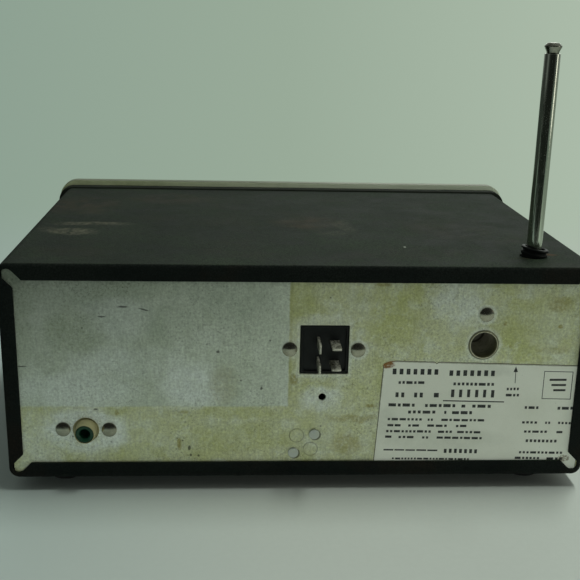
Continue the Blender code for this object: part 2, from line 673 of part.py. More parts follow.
# Profiles: radius, distance behind SPEAKER_FRONT
FRAME_PROFILE = (
    (0, 38.0), (16.0, 38.0), (16.0, 27.0), (18.0, 24.0), (28.5, 3.5), (33.0, 3.5),
    (33.0, 0), (29.0, 0), (27.4, 2.6), (16.0, 23.2), (0, 23.2),
)
CONE_PROFILE = (
    (0, 14.4), (6.0, 16.4), (8.0, 18.6), (26.0, 1.6), (27.6, 0.6), (27.6, 1.2),
    (26.4, 2.6), (8.2, 20.4), (0, 20.4),
)


def build_speaker():
    for name, profile, finish in (
        ("speaker_frame", FRAME_PROFILE, STEEL),
        ("speaker_cone", CONE_PROFILE, CARD),
    ):
        placed = [(radius, SPEAKER_FRONT + depth) for radius, depth in profile]
        lathe(name, placed, 32, (SPEAKER_X, 0, TRIM_Z), "Y", finish)


# -------------------------------------------------------------- inside pieces
TRAY_HALF_W = 116
TRAY_WALL = 1.2
TRAY_FRONT, TRAY_BACK, TRAY_BOTTOM = FRONT_Y + 8, PANEL_IN - 0.4, BASE + 2.0
BOARD_T = 1.6
BOARD_Z = BASE + 12.0  # underside of the main board
PART_Z = BOARD_Z + 1.0  # parts start inside the board, so that they join it
PART_FIRST_X, PART_PITCH = -90, 24
CRYSTAL_FIRST_X, CRYSTAL_PITCH = -87, 10
CHANNEL_FRONT = FRONT_Y + 4.5
CORE_X, CORE_Y, CORE_Z = 74.0, 36.0, BASE + 4.0  # transformer, bottom centre
CAPACITOR_PLACE = (62, -22, BASE + 3.6)
CAPACITOR_PROFILE = (  # radius, height
    (0, 0), (11, 0), (11, 4), (10.5, 4.6), (11, 5.2), (11, 31), (10.4, 31.8), (0, 31.8),
)


def build_tray():
    """Open tray with a tab up the rear panel and four standoffs for the main board."""
    inner_back = TRAY_BACK - TRAY_WALL
    y_span = (TRAY_FRONT, TRAY_BACK)
    tray = box("chassis_tray", span(0, TRAY_HALF_W), y_span, (TRAY_BOTTOM, BASE + 14), ALUMINIUM)
    x_span = span(0, TRAY_HALF_W - TRAY_WALL)
    y_span = (TRAY_FRONT + TRAY_WALL, inner_back)
    cut(tray, box("tray_hollow", x_span, y_span, (TRAY_BOTTOM + TRAY_WALL, BASE + 40)))
    join(tray, box("tray_tab", (-30, 30), (inner_back, TRAY_BACK), (BASE + 2.5, BASE + 26)))
    for x in (-102, 24):
        for y in (-52, 56):
            join(tray, rod("standoff", 3.0, 12, (x, y, 0), "Z", BASE + 2.6, BASE + 11.7))
    cut_rivet_holes(tray, CHASSIS_RIVETS, -5, 2)


def build_main_board():
    """Board with a row of square cans and a row of round parts."""
    board = box("main_board", (-108, 30), (-58, 62), (BOARD_Z, BOARD_Z + BOARD_T), BOARD)
    for i in range(5):
        x = PART_FIRST_X + PART_PITCH * i
        join(board, box("can", span(x, 5), (20, 30), (PART_Z, BOARD_Z + 14)))
        join(board, rod("round_part", 4, 12, (x, 0, 0), "Z", PART_Z, BOARD_Z + 11))


def build_crystal_socket():
    socket = box("crystal_socket", (-92, -12), (-42, -32), (BOARD_Z + 1.95, BOARD_Z + 9), BLACK)
    for i in range(8):
        x = CRYSTAL_FIRST_X + i * CRYSTAL_PITCH
        cut(socket, box("crystal_slot", span(x, 3.6), (-39, -35), (BOARD_Z + 4, BOARD_Z + 12)))


def build_channel_board():
    """Upright board behind the faceplate with a switch behind every button."""
    y_span = (CHANNEL_FRONT, CHANNEL_FRONT + BOARD_T)
    board = box("channel_board", (-20, 112), y_span, (BASE + 16, BASE + 78), BOARD)
    switches = [(x, BUTTON_Z, 4.5) for x in BUTTON_X]  # x, z, half width
    switches += [(x, LOWER_Z, 6.5) for _, x in WIDE_BUTTONS]
    for x, z, half_w in switches:
        join(board, box("switch", span(x, half_w), (FRONT_Y + 1.8, FRONT_Y + 5), span(z, 4.5)))


def build_transformer():
    """Core with two windows, and a winding round its middle limb."""
    core = box(
        "transformer_core", span(CORE_X, 25), span(CORE_Y, 9), (CORE_Z, CORE_Z + 42), IRON
    )
    for side in (-1, 1):
        x_span = span(CORE_X + side * 12.5, 4.5)
        cut(core, box("core_window", x_span, span(CORE_Y, 20), (CORE_Z + 8, CORE_Z + 34)))
    z_span = (CORE_Z + 8.5, CORE_Z + 33.5)
    winding = box("transformer_winding", span(CORE_X, 16.5), span(CORE_Y, 17), z_span, TAPE)
    hollow_z = (CORE_Z, CORE_Z + 50)
    cut(winding, box("winding_hollow", span(CORE_X, 8.5), span(CORE_Y, 9.5), hollow_z))


def build_capacitor():
    lathe("filter_capacitor", CAPACITOR_PROFILE, 24, CAPACITOR_PLACE, "Z", ALUMINIUM)


# ------------------------------------------------------------------------ feet
FOOT_PLACES = ((-100, -62), (100, -62), (-100, 80), (100, 80))  # x, y
FOOT_TOP = FOOT_H - 0.3
FOOT_PROFILE = ((0, 0), (6.4, 0), (7.0, 0.5), (7.6, FOOT_TOP), (0, FOOT_TOP))  # radius, height


def build_feet():
    for i, (x, y) in enumerate(FOOT_PLACES):
        lathe(f"foot_{i + 1}", FOOT_PROFILE, 24, (x, y, 0), "Z", RUBBER)


build_sleeve()
build_rear_panel()
build_rivets()
build_power_socket()
build_power_blades()
build_phono_jack()
build_antenna_jack()
build_antenna()
build_antenna_mounts()
build_bezel()
build_trim()
build_faceplate()
build_grille()
build_window()
build_buttons()
for control, control_x in KNOB_X.items():
    build_control(control, control_x)
build_speaker()
build_tray()
build_main_board()
build_crystal_socket()
build_channel_board()
build_transformer()
build_capacitor()
build_feet()
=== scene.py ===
"""Tabletop scanner receiver: detailed meshes and materials built round its CAD frame.

X runs across the case, Z is up, the front faces -Y and the rear panel faces +Y.
Lengths are millimetres until mesh_object() scales them to metres; stage lengths are metres.
"""
import json
import math
import random
from functools import cached_property

import bmesh
import bpy
from mathutils import Matrix, Vector

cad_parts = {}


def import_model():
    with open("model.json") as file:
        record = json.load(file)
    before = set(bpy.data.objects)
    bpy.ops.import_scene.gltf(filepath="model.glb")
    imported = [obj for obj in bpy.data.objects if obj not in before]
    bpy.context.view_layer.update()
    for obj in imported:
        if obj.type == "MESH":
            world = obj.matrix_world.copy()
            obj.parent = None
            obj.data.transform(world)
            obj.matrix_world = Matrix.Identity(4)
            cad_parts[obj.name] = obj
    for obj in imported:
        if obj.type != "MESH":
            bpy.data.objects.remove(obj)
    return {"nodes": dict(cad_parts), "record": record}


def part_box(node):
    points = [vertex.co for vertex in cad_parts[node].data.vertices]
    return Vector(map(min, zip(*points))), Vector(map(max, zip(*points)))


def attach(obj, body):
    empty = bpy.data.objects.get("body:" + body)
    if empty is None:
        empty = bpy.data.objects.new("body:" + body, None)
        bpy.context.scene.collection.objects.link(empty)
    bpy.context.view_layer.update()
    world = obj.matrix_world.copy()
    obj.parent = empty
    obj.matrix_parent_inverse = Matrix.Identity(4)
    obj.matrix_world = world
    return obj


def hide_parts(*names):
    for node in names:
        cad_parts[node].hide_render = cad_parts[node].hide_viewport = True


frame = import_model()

MM = 0.001
CABINET = "cabinet"
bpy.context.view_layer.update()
rng = random.Random(11)


def box_mm(name):
    """Low and high corners of a CAD node, in millimetres."""
    return [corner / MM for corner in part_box(name)]


# ======================================================== measures of the frame
case_low, case_high = box_mm("cabinet_sleeve")
panel_low, panel_high = box_mm("rear_panel")
plate_low, plate_high = box_mm("faceplate")
trim_low, trim_high = box_mm("trim_ring")
FRONT_Y, REAR_Y = case_low.y, case_high.y
BOTTOM_Z, TOP_Z = case_low.z, case_high.z
MIDDLE_Z = (BOTTOM_Z + TOP_Z) / 2
CASE_WIDTH = case_high.x - case_low.x
CASE_HEIGHT = case_high.z - case_low.z
PANEL_OUT, PANEL_IN = panel_high.y, panel_low.y
PLATE_FRONT, PLATE_BACK = plate_low.y, plate_high.y

# Places on the rear panel, as x, z
JACK = (-73.95, 64.0)
PHONO = (88.8, 26.8)
PLUGS = ((2.1, 24.1), (-3.8, 18.0))
SOCKET = (-8.45, 61.65, 20.1, 20.9)  # x, z, width, height
# Rivets with a domed head: name, x, z, radius
DOMED_RIVETS = (
    ("rivet_power_1", 5.7, 61.9, 3.06), ("rivet_power_2", -22.2, 61.7, 3.06),
    ("rivet_phono_1", 98.0, 27.2, 3.06), ("rivet_phono_2", 79.3, 27.0, 3.06),
    ("rivet_jack", -74.3, 77.0, 3.0),
)
# Rivets with a flat head: name, x, z, radius, height
FLAT_RIVETS = (
    ("rivet_chassis_1", -5.2, 24.9, 2.2, 1.05),
    ("rivet_chassis_2", 3.4, 16.5, 2.2, 0.85),
)
ANTENNA_X, ANTENNA_Y = -97.2, 77.0


# ======================================================================== nodes
class Nodes:
    """Adds nodes to a tree. Most methods give the output socket of what they add."""

    def __init__(self, tree):
        self.tree = tree
        tree.nodes.clear()

    def put(self, socket, value):
        if isinstance(value, bpy.types.NodeSocket):
            self.tree.links.new(value, socket)
        elif isinstance(value, tuple):
            needs_alpha = len(value) == 3 and len(socket.default_value) == 4
            socket.default_value = (*value, 1.0) if needs_alpha else value
        else:
            socket.default_value = value

    def node(self, kind, inputs=None, **settings):
        """Settings come first, since they decide which inputs can be found by name."""
        made = self.tree.nodes.new("ShaderNode" + kind)
        for key, value in settings.items():
            setattr(made, key, value)
        for key, value in (inputs or {}).items():
            if value is not None:
                self.put(made.inputs[key], value)
        return made

    def math(self, operation, first, second=None, third=None, clamp=False):
        inputs = {0: first, 1: second, 2: third}
        return self.node("Math", inputs, operation=operation, use_clamp=clamp).outputs[0]

    def add(self, first, second, clamp=False):
        return self.math("ADD", first, second, clamp=clamp)

    def less(self, first, second, clamp=False):
        return self.math("SUBTRACT", first, second, clamp=clamp)

    def times(self, result, *others):
        for other in others:
            result = self.math("MULTIPLY", result, other)
        return result

    def most(self, result, *others):
        for other in others:
            result = self.math("MAXIMUM", result, other)
        return result

    def away(self, value, centre):
        """Distance of value from centre."""
        return self.math("ABSOLUTE", self.less(value, centre))

    def length(self, first, second):
        squares = self.times(first, first), self.times(second, second)
        return self.math("SQRT", self.add(*squares))

    def vector(self, operation, first, second=None, scale=None):
        inputs = {0: first, 1: second, "Scale": scale}
        return self.node("VectorMath", inputs, operation=operation).outputs[0]

    def parts(self, vector):
        return self.node("SeparateXYZ", {0: vector}).outputs

    def span(self, value, start, end, low=0.0, high=1.0, smooth=True):
        """value from start to end becomes low to high, held outside."""
        inputs = dict(enumerate((value, start, end, low, high)))
        kind = "SMOOTHSTEP" if smooth else "LINEAR"
        return self.node("MapRange", inputs, interpolation_type=kind, clamp=True).outputs[0]

    def ramp(self, factor, *stops):
        """Colour ramp; each stop is a place and a colour."""
        made = self.node("ValToRGB", {0: factor})
        elements = made.color_ramp.elements
        while len(elements) < len(stops):
            elements.new(0.5)
        for element, (position, colour) in zip(elements, stops):
            element.position, element.color = position, (*colour, 1.0)
        return made.outputs[0]

    def camera_ray(self):
        return self.node("LightPath").outputs["Is Camera Ray"]

    def mix_shader(self, factor, first, second):
        return self.node("MixShader", {0: factor, 1: first, 2: second}).outputs[0]


class Look(Nodes):
    """A node material. mm is the object's own coordinates in millimetres."""

    def __init__(self, name):
        self.material = bpy.data.materials.new(name)
        self.material.use_nodes = True
        super().__init__(self.material.node_tree)
        self.output = self.node("OutputMaterial")
        self.shader = self.node("BsdfPrincipled")
        self.put(self.output.inputs[0], self.shader.outputs[0])
        self.mm = self.vector("SCALE", self.node("TexCoord").outputs["Object"], scale=1000.0)

    @cached_property
    def axes(self):
        return self.parts(self.mm)

    x = property(lambda self: self.axes[0])
    y = property(lambda self: self.axes[1])
    z = property(lambda self: self.axes[2])

    def set(self, **values):
        """Sets inputs of the main shader and gives the finished material."""
        for key, value in values.items():
            self.put(self.shader.inputs[key.replace("_", " ")], value)
        return self.material

    def facing(self):
        """X, Y and Z of the surface normal."""
        return self.parts(self.node("NewGeometry").outputs["Normal"])

    def noise(self, scale, detail=4.0, rough=0.55, vector=None, shift=None, colour=False):
        """Noise on vector, or on mm, moved by shift."""
        vector = self.mm if vector is None else vector
        if shift is not None:
            vector = self.vector("ADD", vector, shift)
        inputs = {"Vector": vector, "Scale": scale, "Detail": detail, "Roughness": rough}
        return self.node("TexNoise", inputs).outputs[1 if colour else 0]

    def cloud(self, start, end, low=0.0, high=1.0, **noise):
        """Noise from start to end becomes low to high."""
        return self.span(self.noise(**noise), start, end, low, high)

    def cells(self, scale, feature="F1", vector=None, smoothness=None):
        vector = self.mm if vector is None else vector
        inputs = {"Vector": vector, "Scale": scale, "Smoothness": smoothness}
        return self.node("TexVoronoi", inputs, feature=feature).outputs["Distance"]

    def specks(self, scale, fade, zone, within):
        """Round dots fading between two distances, where the noise zone
        (scale, detail, roughness) climbs through within."""
        dots = self.span(self.cells(scale), *fade, low=1.0, high=0.0)
        return self.times(dots, self.span(self.noise(*zone), *within))

    def mix(self, factor, first, second, blend="MIX"):
        inputs = {0: factor, 6: first, 7: second}
        return self.node("Mix", inputs, data_type="RGBA", blend_type=blend).outputs[2]

    def over(self, base, colour, *amounts):
        """base turned to colour by the product of the amounts."""
        return self.mix(self.times(*amounts), base, colour)

    def darken(self, tone, *amounts):
        return self.times(tone, self.less(1.0, self.times(*amounts)))

    def shade(self, base, tone):
        grey = self.node("CombineXYZ", {0: tone, 1: tone, 2: tone}).outputs[0]
        return self.mix(1.0, base, grey, "MULTIPLY")

    def bump(self, height, depth, strength, over=None):
        """Relief of a depth in millimetres, on top of another relief if one is given."""
        inputs = {"Strength": strength, "Distance": depth * MM, "Height": height, "Normal": over}
        return self.node("Bump", inputs).outputs[0]

    def stretch(self, *factors):
        return self.vector("MULTIPLY", self.mm, factors)

    def warp(self, scale, reach):
        """X, Y and Z pushed about by noise, so that stains lose their outline."""
        return self.parts(self.warped(scale, reach))

    def warped(self, scale, reach):
        cloud = self.noise(scale=scale, detail=3, rough=0.6, colour=True)
        push = self.vector("SUBTRACT", cloud, (0.5, 0.5, 0.5))
        return self.vector("ADD", self.mm, self.vector("SCALE", push, scale=reach))

    def radius(self, x, z):
        """Distance from a point of the XZ plane."""
        return self.length(self.less(self.x, x), self.less(self.z, z))

    def spot(self, plane, across, along, half_across, half_along, soft=0.8):
        """1 inside an ellipse on the two coordinates of plane, falling to 0 outside it."""
        first = self.math("MULTIPLY_ADD", plane[0], 1.0 / half_across, -across / half_across)
        second = self.math("MULTIPLY_ADD", plane[1], 1.0 / half_along, -along / half_along)
        squared = self.math("MULTIPLY_ADD", first, first, self.times(second, second))
        return self.span(squared, max(0.0, 1.0 - soft), 1.0 + soft, 1.0, 0.0)

    def patches(self, *groups):
        """The strongest of many spots. A group is a plane followed by its rows:
        centre (2), half sizes (2), strength and, where it isn't 0.8, softness."""
        return self.most(*(
            self.times(self.spot(plane, *row[:4], *row[5:]), row[4])
            for plane, *rows in groups for row in rows
        ))


# ==================================================================== materials
def vinyl():
    """Leather-grained vinyl, dusty on top, with brown handling marks and pale fold edges that are
    partly wear and partly a painted highlight.
    """
    mat = Look("vinyl_cladding")
    pushed = mat.warped(scale=1.4, reach=0.35)
    pores = mat.cells(scale=1.02, feature="SMOOTH_F1", vector=pushed, smoothness=0.35)
    creases = mat.cells(scale=1.02, feature="DISTANCE_TO_EDGE", vector=pushed)
    fine = mat.noise(scale=5.5, detail=3, rough=0.6)
    grain = mat.add(mat.times(mat.span(creases, 0, 0.22), 0.55), mat.times(fine, 0.4))
    grain = mat.add(mat.times(pores, -0.7), grain)
    streak = mat.noise(scale=0.075, detail=6, rough=0.68, shift=(13, 41, 2))
    weave = mat.noise(scale=0.42, detail=3, rough=0.6)
    mottle = mat.noise(scale=0.022, detail=5, rough=0.6)
    base = mat.ramp(mottle, (0.32, (0.0056, 0.0085, 0.0080)), (0.68, (0.0114, 0.0149, 0.0124)))
    brown = mat.cloud(0.5, 0.72, high=0.5, scale=0.03, detail=4, rough=0.6, shift=(91, 7, 3))
    base = mat.over(base, (0.020, 0.0125, 0.008), brown)
    # dust and crumbs on the top face, thicker towards the rear
    up = mat.span(mat.facing()[2], 0.75, 0.98)
    dust = mat.times(
        up, mat.span(streak, 0.30, 0.72, low=0.18, high=0.75),
        mat.span(mottle, 0.25, 0.75, low=0.55),
    )
    dusty = mat.span(mat.y, -20, 90, low=0.70, high=0.86)
    base = mat.over(base, (0.065, 0.091, 0.058), dust, dusty)
    crumbs = mat.times(mat.span(fine, 0.52, 0.70), mat.span(weave, 0.35, 0.65, low=0.4), up)
    crumbly = mat.span(mat.y, 0, 95, low=0.42, high=0.75)
    base = mat.over(base, (0.090, 0.115, 0.079), crumbs, crumbly)
    base = mat.over(base, (0.0032, 0.0045, 0.0042), mat.span(creases, 0.20, 0), 0.72)
    base = vinyl_stains(mat, base, up)
    # pale line along the folds at the rear, partly wear and partly a painted highlight, and paint
    # specks
    fold_sheen_and_wear = mat.times(
        mat.span(mat.y, 95.4, 97.3), mat.span(mat.away(mat.z, 51.5), 43.6, 45.0),
        mat.cloud(0.42, 0.72, scale=0.9, detail=5, rough=0.75),
    )
    base = mat.over(base, (0.040, 0.043, 0.038), fold_sheen_and_wear, 0.35)
    paint = mat.specks(scale=0.085, fade=(0, 0.030), zone=(0.03, 2), within=(0.52, 0.62))
    base = mat.over(base, (0.26, 0.27, 0.22), paint, 0.7)
    white = mat.spot((mat.x, mat.y), -45.1, 62, 0.55, 0.75, soft=0.4)
    base = mat.over(base, (0.42, 0.44, 0.38), white, up)
    rough = mat.span(streak, 0.3, 0.7, low=0.62, high=0.74)
    rough = mat.add(rough, mat.times(mat.noise(scale=2.2, detail=3), 0.10))
    rough = mat.add(rough, mat.times(dust, 0.10), clamp=True)
    relief = mat.bump(grain, depth=0.09, strength=0.75)
    waves = mat.add(weave, mat.times(mottle, 0.8))
    return mat.set(
        Base_Color=base, Roughness=rough, Specular_IOR_Level=0.14,
        Normal=mat.bump(waves, depth=0.06, strength=0.4, over=relief),
    )


def vinyl_stains(mat, base, up):
    """Scuffs, brown stains and rust on the top face; spots lie on X and Y."""
    x, y, _ = mat.warp(scale=0.05, reach=14)
    top = (x, y)
    scuff = mat.patches([
        top, (101, 36, 11, 6.5, 0.85), (93, 18, 15, 4.2, 0.75), (112, 31, 5, 5, 0.28),
        (-16, 35, 7, 4, 0.20), (-24, 18, 4.5, 14, 0.32),
    ])
    torn = mat.cloud(0.36, 0.64, scale=0.34, detail=5, rough=0.74)
    base = mat.over(base, (0.150, 0.142, 0.098), scuff, torn, up, 0.75)
    brown = mat.patches([
        top, (103, -28, 17, 22, 0.55), (-6, 12, 15, 15, 0.60), (60, -50, 22, 14, 0.35),
        (-72, 20, 20, 26, 0.18),
    ])
    blotted = mat.cloud(0.3, 0.7, scale=0.12, detail=4, rough=0.6)
    base = mat.over(base, (0.050, 0.038, 0.025), brown, up, blotted)
    rust = mat.most(
        mat.spot(top, -105.5, 75.5, 4.6, 2.6), mat.patches([top, (-92, 80.5, 5, 2, 0.3)])
    )
    rusty = mat.cloud(0.34, 0.62, low=0.25, high=0.9, scale=0.5, detail=4, rough=0.65)
    return mat.over(base, (0.066, 0.036, 0.018), rust, up, rusty)


PANEL_GAIN = 2.02  # brightness of the whole panel colour


def stained_panel():
    """Bare aluminium sheet: grey inside an outline above and to +X, olive and yellow elsewhere."""
    mat = Look("stained_aluminium")
    warped = mat.warped(scale=0.09, reach=7)
    x, _, z = mat.parts(warped)
    wide = (x, z)
    x, _, z = mat.warp(scale=0.5, reach=0.9)
    near = (x, z)
    grain = mat.noise(scale=0.95, detail=5, rough=0.80)
    brushed = mat.noise(scale=1, detail=3, rough=0.6, vector=mat.stretch(1.5, 1.0, 0.16))
    cloud = mat.noise(scale=0.035, detail=6, rough=0.62, vector=warped)
    haze = mat.noise(scale=0.055, detail=5, rough=0.6, vector=warped, shift=(40, 9, 77))
    ghost = mat.times(
        mat.span(x, 5.7, 6.3), mat.span(mat.add(z, mat.times(haze, 2.0)), 37.6, 38.6)
    )
    dull = mat.patches([
        wide, (93, 67, 12, 9, 0.85), (102, 56, 7, 6, 0.5), (61, 60, 8, 17, 0.40),
        (68, 86, 16, 4, 0.40), (30, 52, 8, 9, 0.38), (118, 80, 9, 34, 0.5),
    ])
    dull = mat.times(dull, mat.cloud(0.30, 0.62, low=0.35, scale=0.6, detail=5, rough=0.75))
    halo = panel_halo(mat, wide, near)
    nicks = panel_nicks(mat, near)
    fine = mat.times(mat.less(grain, 0.5), 1.0)

    base = panel_ground(mat, warped, ghost, cloud, haze)
    base = panel_stains(mat, base, wide, near, ghost, dull)
    base = mat.over(base, (0.465, 0.485, 0.455), halo, 0.6)
    crease = mat.times(
        mat.span(mat.away(x, 5.3), 0, 1.1, low=1, high=0), mat.span(mat.z, 36, 44), 0.40
    )
    base = mat.over(base, (0.20, 0.20, 0.085), crease)
    colour = mat.shade(base, panel_tone(mat, fine, brushed, dull, nicks))
    height = mat.add(mat.times(brushed, 0.5), mat.times(nicks, -1.0, 1.5))
    height = mat.add(mat.times(grain, 0.6), height)
    return mat.set(
        Base_Color=mat.vector("SCALE", colour, scale=PANEL_GAIN),
        Roughness=mat.add(mat.span(cloud, 0.3, 0.7, 0.40, 0.54), mat.times(fine, 0.25)),
        Metallic=mat.add(0.36, mat.times(halo, 0.12)),
        Specular_IOR_Level=0.4,
        Normal=mat.bump(height, depth=0.02, strength=0.55),
    )


def panel_ground(mat, warped, ghost, cloud, haze):
    """The grey and olive grounds, each with two layers of patches."""
    grey = mat.ramp(
        cloud, (0.30, (0.255, 0.286, 0.236)), (0.5, (0.316, 0.344, 0.292)),
        (0.72, (0.380, 0.408, 0.372)),
    )
    stain = mat.ramp(
        haze, (0.28, (0.318, 0.338, 0.266)), (0.5, (0.312, 0.324, 0.205)),
        (0.72, (0.274, 0.290, 0.135)),
    )
    base = mat.over(stain, grey, ghost)
    ragged = {"detail": 6, "rough": 0.74, "vector": warped}
    patch = mat.cloud(0.46, 0.64, scale=0.13, shift=(71, 19, 35), **ragged)
    base = mat.over(base, (0.372, 0.396, 0.338), patch, mat.less(1.0, ghost), 0.62)
    patch = mat.cloud(0.48, 0.66, scale=0.17, shift=(11, 49, 5), **ragged)
    tint = mat.over((0.250, 0.262, 0.120), (0.235, 0.262, 0.205), ghost)
    return mat.over(base, tint, patch, 0.42)


def panel_stains(mat, base, wide, near, ghost, dull):
    """Bluish, green-grey, olive and ochre places; spots lie on X and Z."""
    pale = mat.patches([
        wide, (44, 46, 13, 9, 0.9), (75, 74, 14, 9, 0.45), (70, 56, 22, 7, 0.55),
        (92, 44, 24, 7, 0.6), (-62, 82, 9, 10, 0.75), (-7, 41, 8, 5.5, 0.9),
        (-102, 75, 8, 7, 0.35), (PHONO[0], 27, 19, 10.5, 1, 0.5), (108, 20, 10, 12, 0.5),
    ])
    broken = mat.cloud(0.25, 0.6, low=0.45, scale=0.25, detail=4, rough=0.65)
    base = mat.over(base, (0.412, 0.440, 0.425), pale, broken, 0.8)
    base = mat.over(base, (0.205, 0.235, 0.165), dull, 0.75)
    olive = mat.patches([
        wide, (1.5, 83, 7, 10, 1), (-40, 79, 9, 12, 0.55), (-92, 74, 14, 9, 0.6),
        (26, 23, 22, 6, 0.7), (24, 34, 20, 2.6, 0.55), (60, 16, 26, 4, 0.55),
        (77, 35.5, 5, 2, 0.6), (100, 36, 11, 1.8, 0.35),
    ])
    outside = mat.less(1.0, ghost)
    broken = mat.cloud(0.25, 0.62, low=0.5, scale=0.16, detail=4, rough=0.6)
    base = mat.over(base, (0.245, 0.258, 0.098), olive, outside, broken, 0.72)
    ochre = mat.patches(
        [wide, (-104.6, 81.4, 4, 3.4, 0.7)],
        [
            near, (-105.5, 72, 1.1, 0.8, 1), (-82.3, 73.2, 0.7, 0.9, 1),
            (-85, 63.5, 0.6, 0.5, 1), (3.9, 48.9, 1.7, 2.3, 1), (50.8, 20.5, 0.9, 2.6, 1),
            (76, 34.4, 0.9, 1.3, 0.8), (48.9, 34.6, 2, 0.7, 0.6),
        ],
        [wide, (-18.4, 20, 7, 4.6, 0.62), (-21, 31.8, 10, 1.6, 0.62)],
        [near, (-28.6, 37.3, 2.2, 0.8, 0.9)],
        [wide, (32.5, 46, 5.5, 8, 0.34)],
        [near, (-31.5, 89.2, 3.5, 0.7, 0.7)],
        [wide, (-104, 62, 7, 1.4, 0.35)],
    )
    broken = mat.cloud(0.30, 0.56, low=0.2, scale=0.8, detail=4, rough=0.7)
    return mat.over(base, (0.170, 0.150, 0.045), ochre, broken, 0.85)


def panel_halo(mat, wide, near):
    """Clean bright metal round the rivets, the jacks and the square socket."""
    rings = mat.patches([
        near, (5.7, 61.9, 4.3, 4.3, 0.5, 0.25), (-22.2, 61.7, 4.4, 4.4, 0.9, 0.25),
        (98, 27.2, 4.6, 4.6, 0.9, 0.4), (79.3, 27, 5, 4.6, 0.9, 0.4),
        (-74.3, 76.9, 4.3, 4.3, 0.9, 0.25), (-74, 63.9, 7.6, 7.6, 0.7, 0.22),
    ])
    beside = mat.math("ABSOLUTE", mat.add(near[0], -SOCKET[0]))
    above = mat.away(near[1], SOCKET[1])
    square = mat.times(mat.span(beside, 11.8, 10.9), mat.span(above, 12.6, 11.4))
    strip = mat.patches([wide, (-8, 74.3, 11, 2.2, 0.6)])
    return mat.most(rings, mat.times(square, 0.55), strip)


def panel_nicks(mat, near):
    """Small dark nicks; the second leans on the panel."""
    x, z = near
    sheared = (mat.add(x, mat.times(z, 0.0)), mat.less(z, mat.times(x, 0.28)))
    # plane, centre x and z, half width, half height, softness
    rows = (
        (near, 72.4, 79.4, 2.0, 0.34, 0.6), (sheared, 64.2, 60.3, 1.9, 0.34, 0.6),
        (near, 80.8, 75.3, 1.5, 0.28, 0.6), (near, 113.2, 54.4, 2.2, 0.26, 0.6),
        (near, 34.8, 60.7, 0.7, 0.6, 0.5), (near, 17.0, 45.0, 0.5, 0.7, 0.5),
        (near, 46.6, 18.6, 0.6, 1.0, 0.5), (near, 46.0, 15.4, 0.5, 0.6, 0.5),
        (near, 42.9, 15.2, 0.5, 0.5, 0.5), (near, 84.5, 36.0, 0.8, 0.4, 0.5),
    )
    return mat.most(*(mat.spot(*row) for row in rows))


def panel_tone(mat, fine, brushed, dull, nicks):
    """Brightness of the panel: grain, scratches, pin-point dirt and rings, plus painted shade and
    painted shadows.
    """
    cross = mat.noise(scale=0.30, detail=5, rough=0.72, shift=(3, 8, 21))
    lines = mat.add(
        mat.times(mat.less(brushed, 0.5), 0.55), mat.times(mat.less(cross, 0.5), 0.45)
    )
    tone = mat.add(1.0, mat.add(mat.times(fine, 1.45), mat.times(lines, 0.65)))
    zone = mat.cloud(0.42, 0.60, scale=0.045, detail=3, rough=0.6, shift=(55, 6, 15))
    blotch = mat.times(
        mat.cloud(0.56, 0.68, scale=1.25, detail=3, rough=0.6, shift=(17, 2, 9)),
        mat.most(zone, mat.times(dull, 0.9)),
    )
    tone = mat.darken(tone, blotch, 0.34)
    dirty = mat.cloud(0.40, 0.62, scale=0.05, detail=3, rough=0.6, shift=(5, 60, 5))
    pepper = mat.specks(scale=0.95, fade=(0.05, 0.20), zone=(0.8, 2), within=(0.48, 0.60))
    tone = mat.darken(tone, pepper, dirty, 0.55)
    dots = mat.specks(scale=0.16, fade=(0.040, 0.085), zone=(0.05, 2), within=(0.50, 0.58))
    tone = mat.darken(tone, dots, 0.7)
    tone = mat.darken(tone, nicks, 0.72)
    scratch = mat.noise(
        scale=1, detail=2, rough=0.5, vector=mat.stretch(0.05, 1.0, 1.9), shift=(0, 0, 13)
    )
    scratch = mat.times(
        mat.span(mat.away(scratch, 0.5), 0, 0.012, low=1, high=0),
        mat.cloud(0.5, 0.62, scale=0.04, detail=2),
    )
    tone = mat.add(tone, mat.times(scratch, 0.20))
    # painted shade: darker towards the top and +X
    aside = mat.span(mat.x, 6, 114, smooth=False)
    tone = mat.darken(tone, aside, mat.span(mat.z, 25, 92, smooth=False), 0.43)
    tone = mat.times(
        tone, mat.span(mat.z, 32, 56, low=1, high=1.035, smooth=False),
        mat.span(mat.z, 56, 92, low=1, high=0.885, smooth=False),
    )
    # grooves round the flush plugs
    rings = mat.most(*(
        mat.span(mat.away(mat.radius(*plug), 3.0), 0.08, 0.36, low=1, high=0) for plug in PLUGS
    ))
    worn = mat.cloud(0.3, 0.6, low=0.35, scale=0.5, detail=3)
    tone = mat.darken(tone, rings, worn, 0.42)
    for place_xz in ((-5.75, 24.2), (2.85, 15.9)):
        shadow = mat.spot((mat.x, mat.z), *place_xz, 2.35, 2.35, soft=0.18)
        tone = mat.darken(tone, shadow, 0.72)
    # painted shade in a thin ring where the aerial jack's rim meets the panel
    rim = mat.away(mat.radius(*JACK), 6.12)
    tone = mat.times(tone, mat.span(rim, 0.10, 0.42, low=0.26))
    # painted shade under the top lip and, weaker, above the bottom lip, mixed with grime
    grime = mat.most(mat.span(mat.z, 87.2, 90.6), mat.times(mat.span(mat.z, 13.4, 12.4), 0.5))
    return mat.darken(tone, grime, mat.cloud(0.3, 0.7, scale=0.4, detail=4), 0.28)


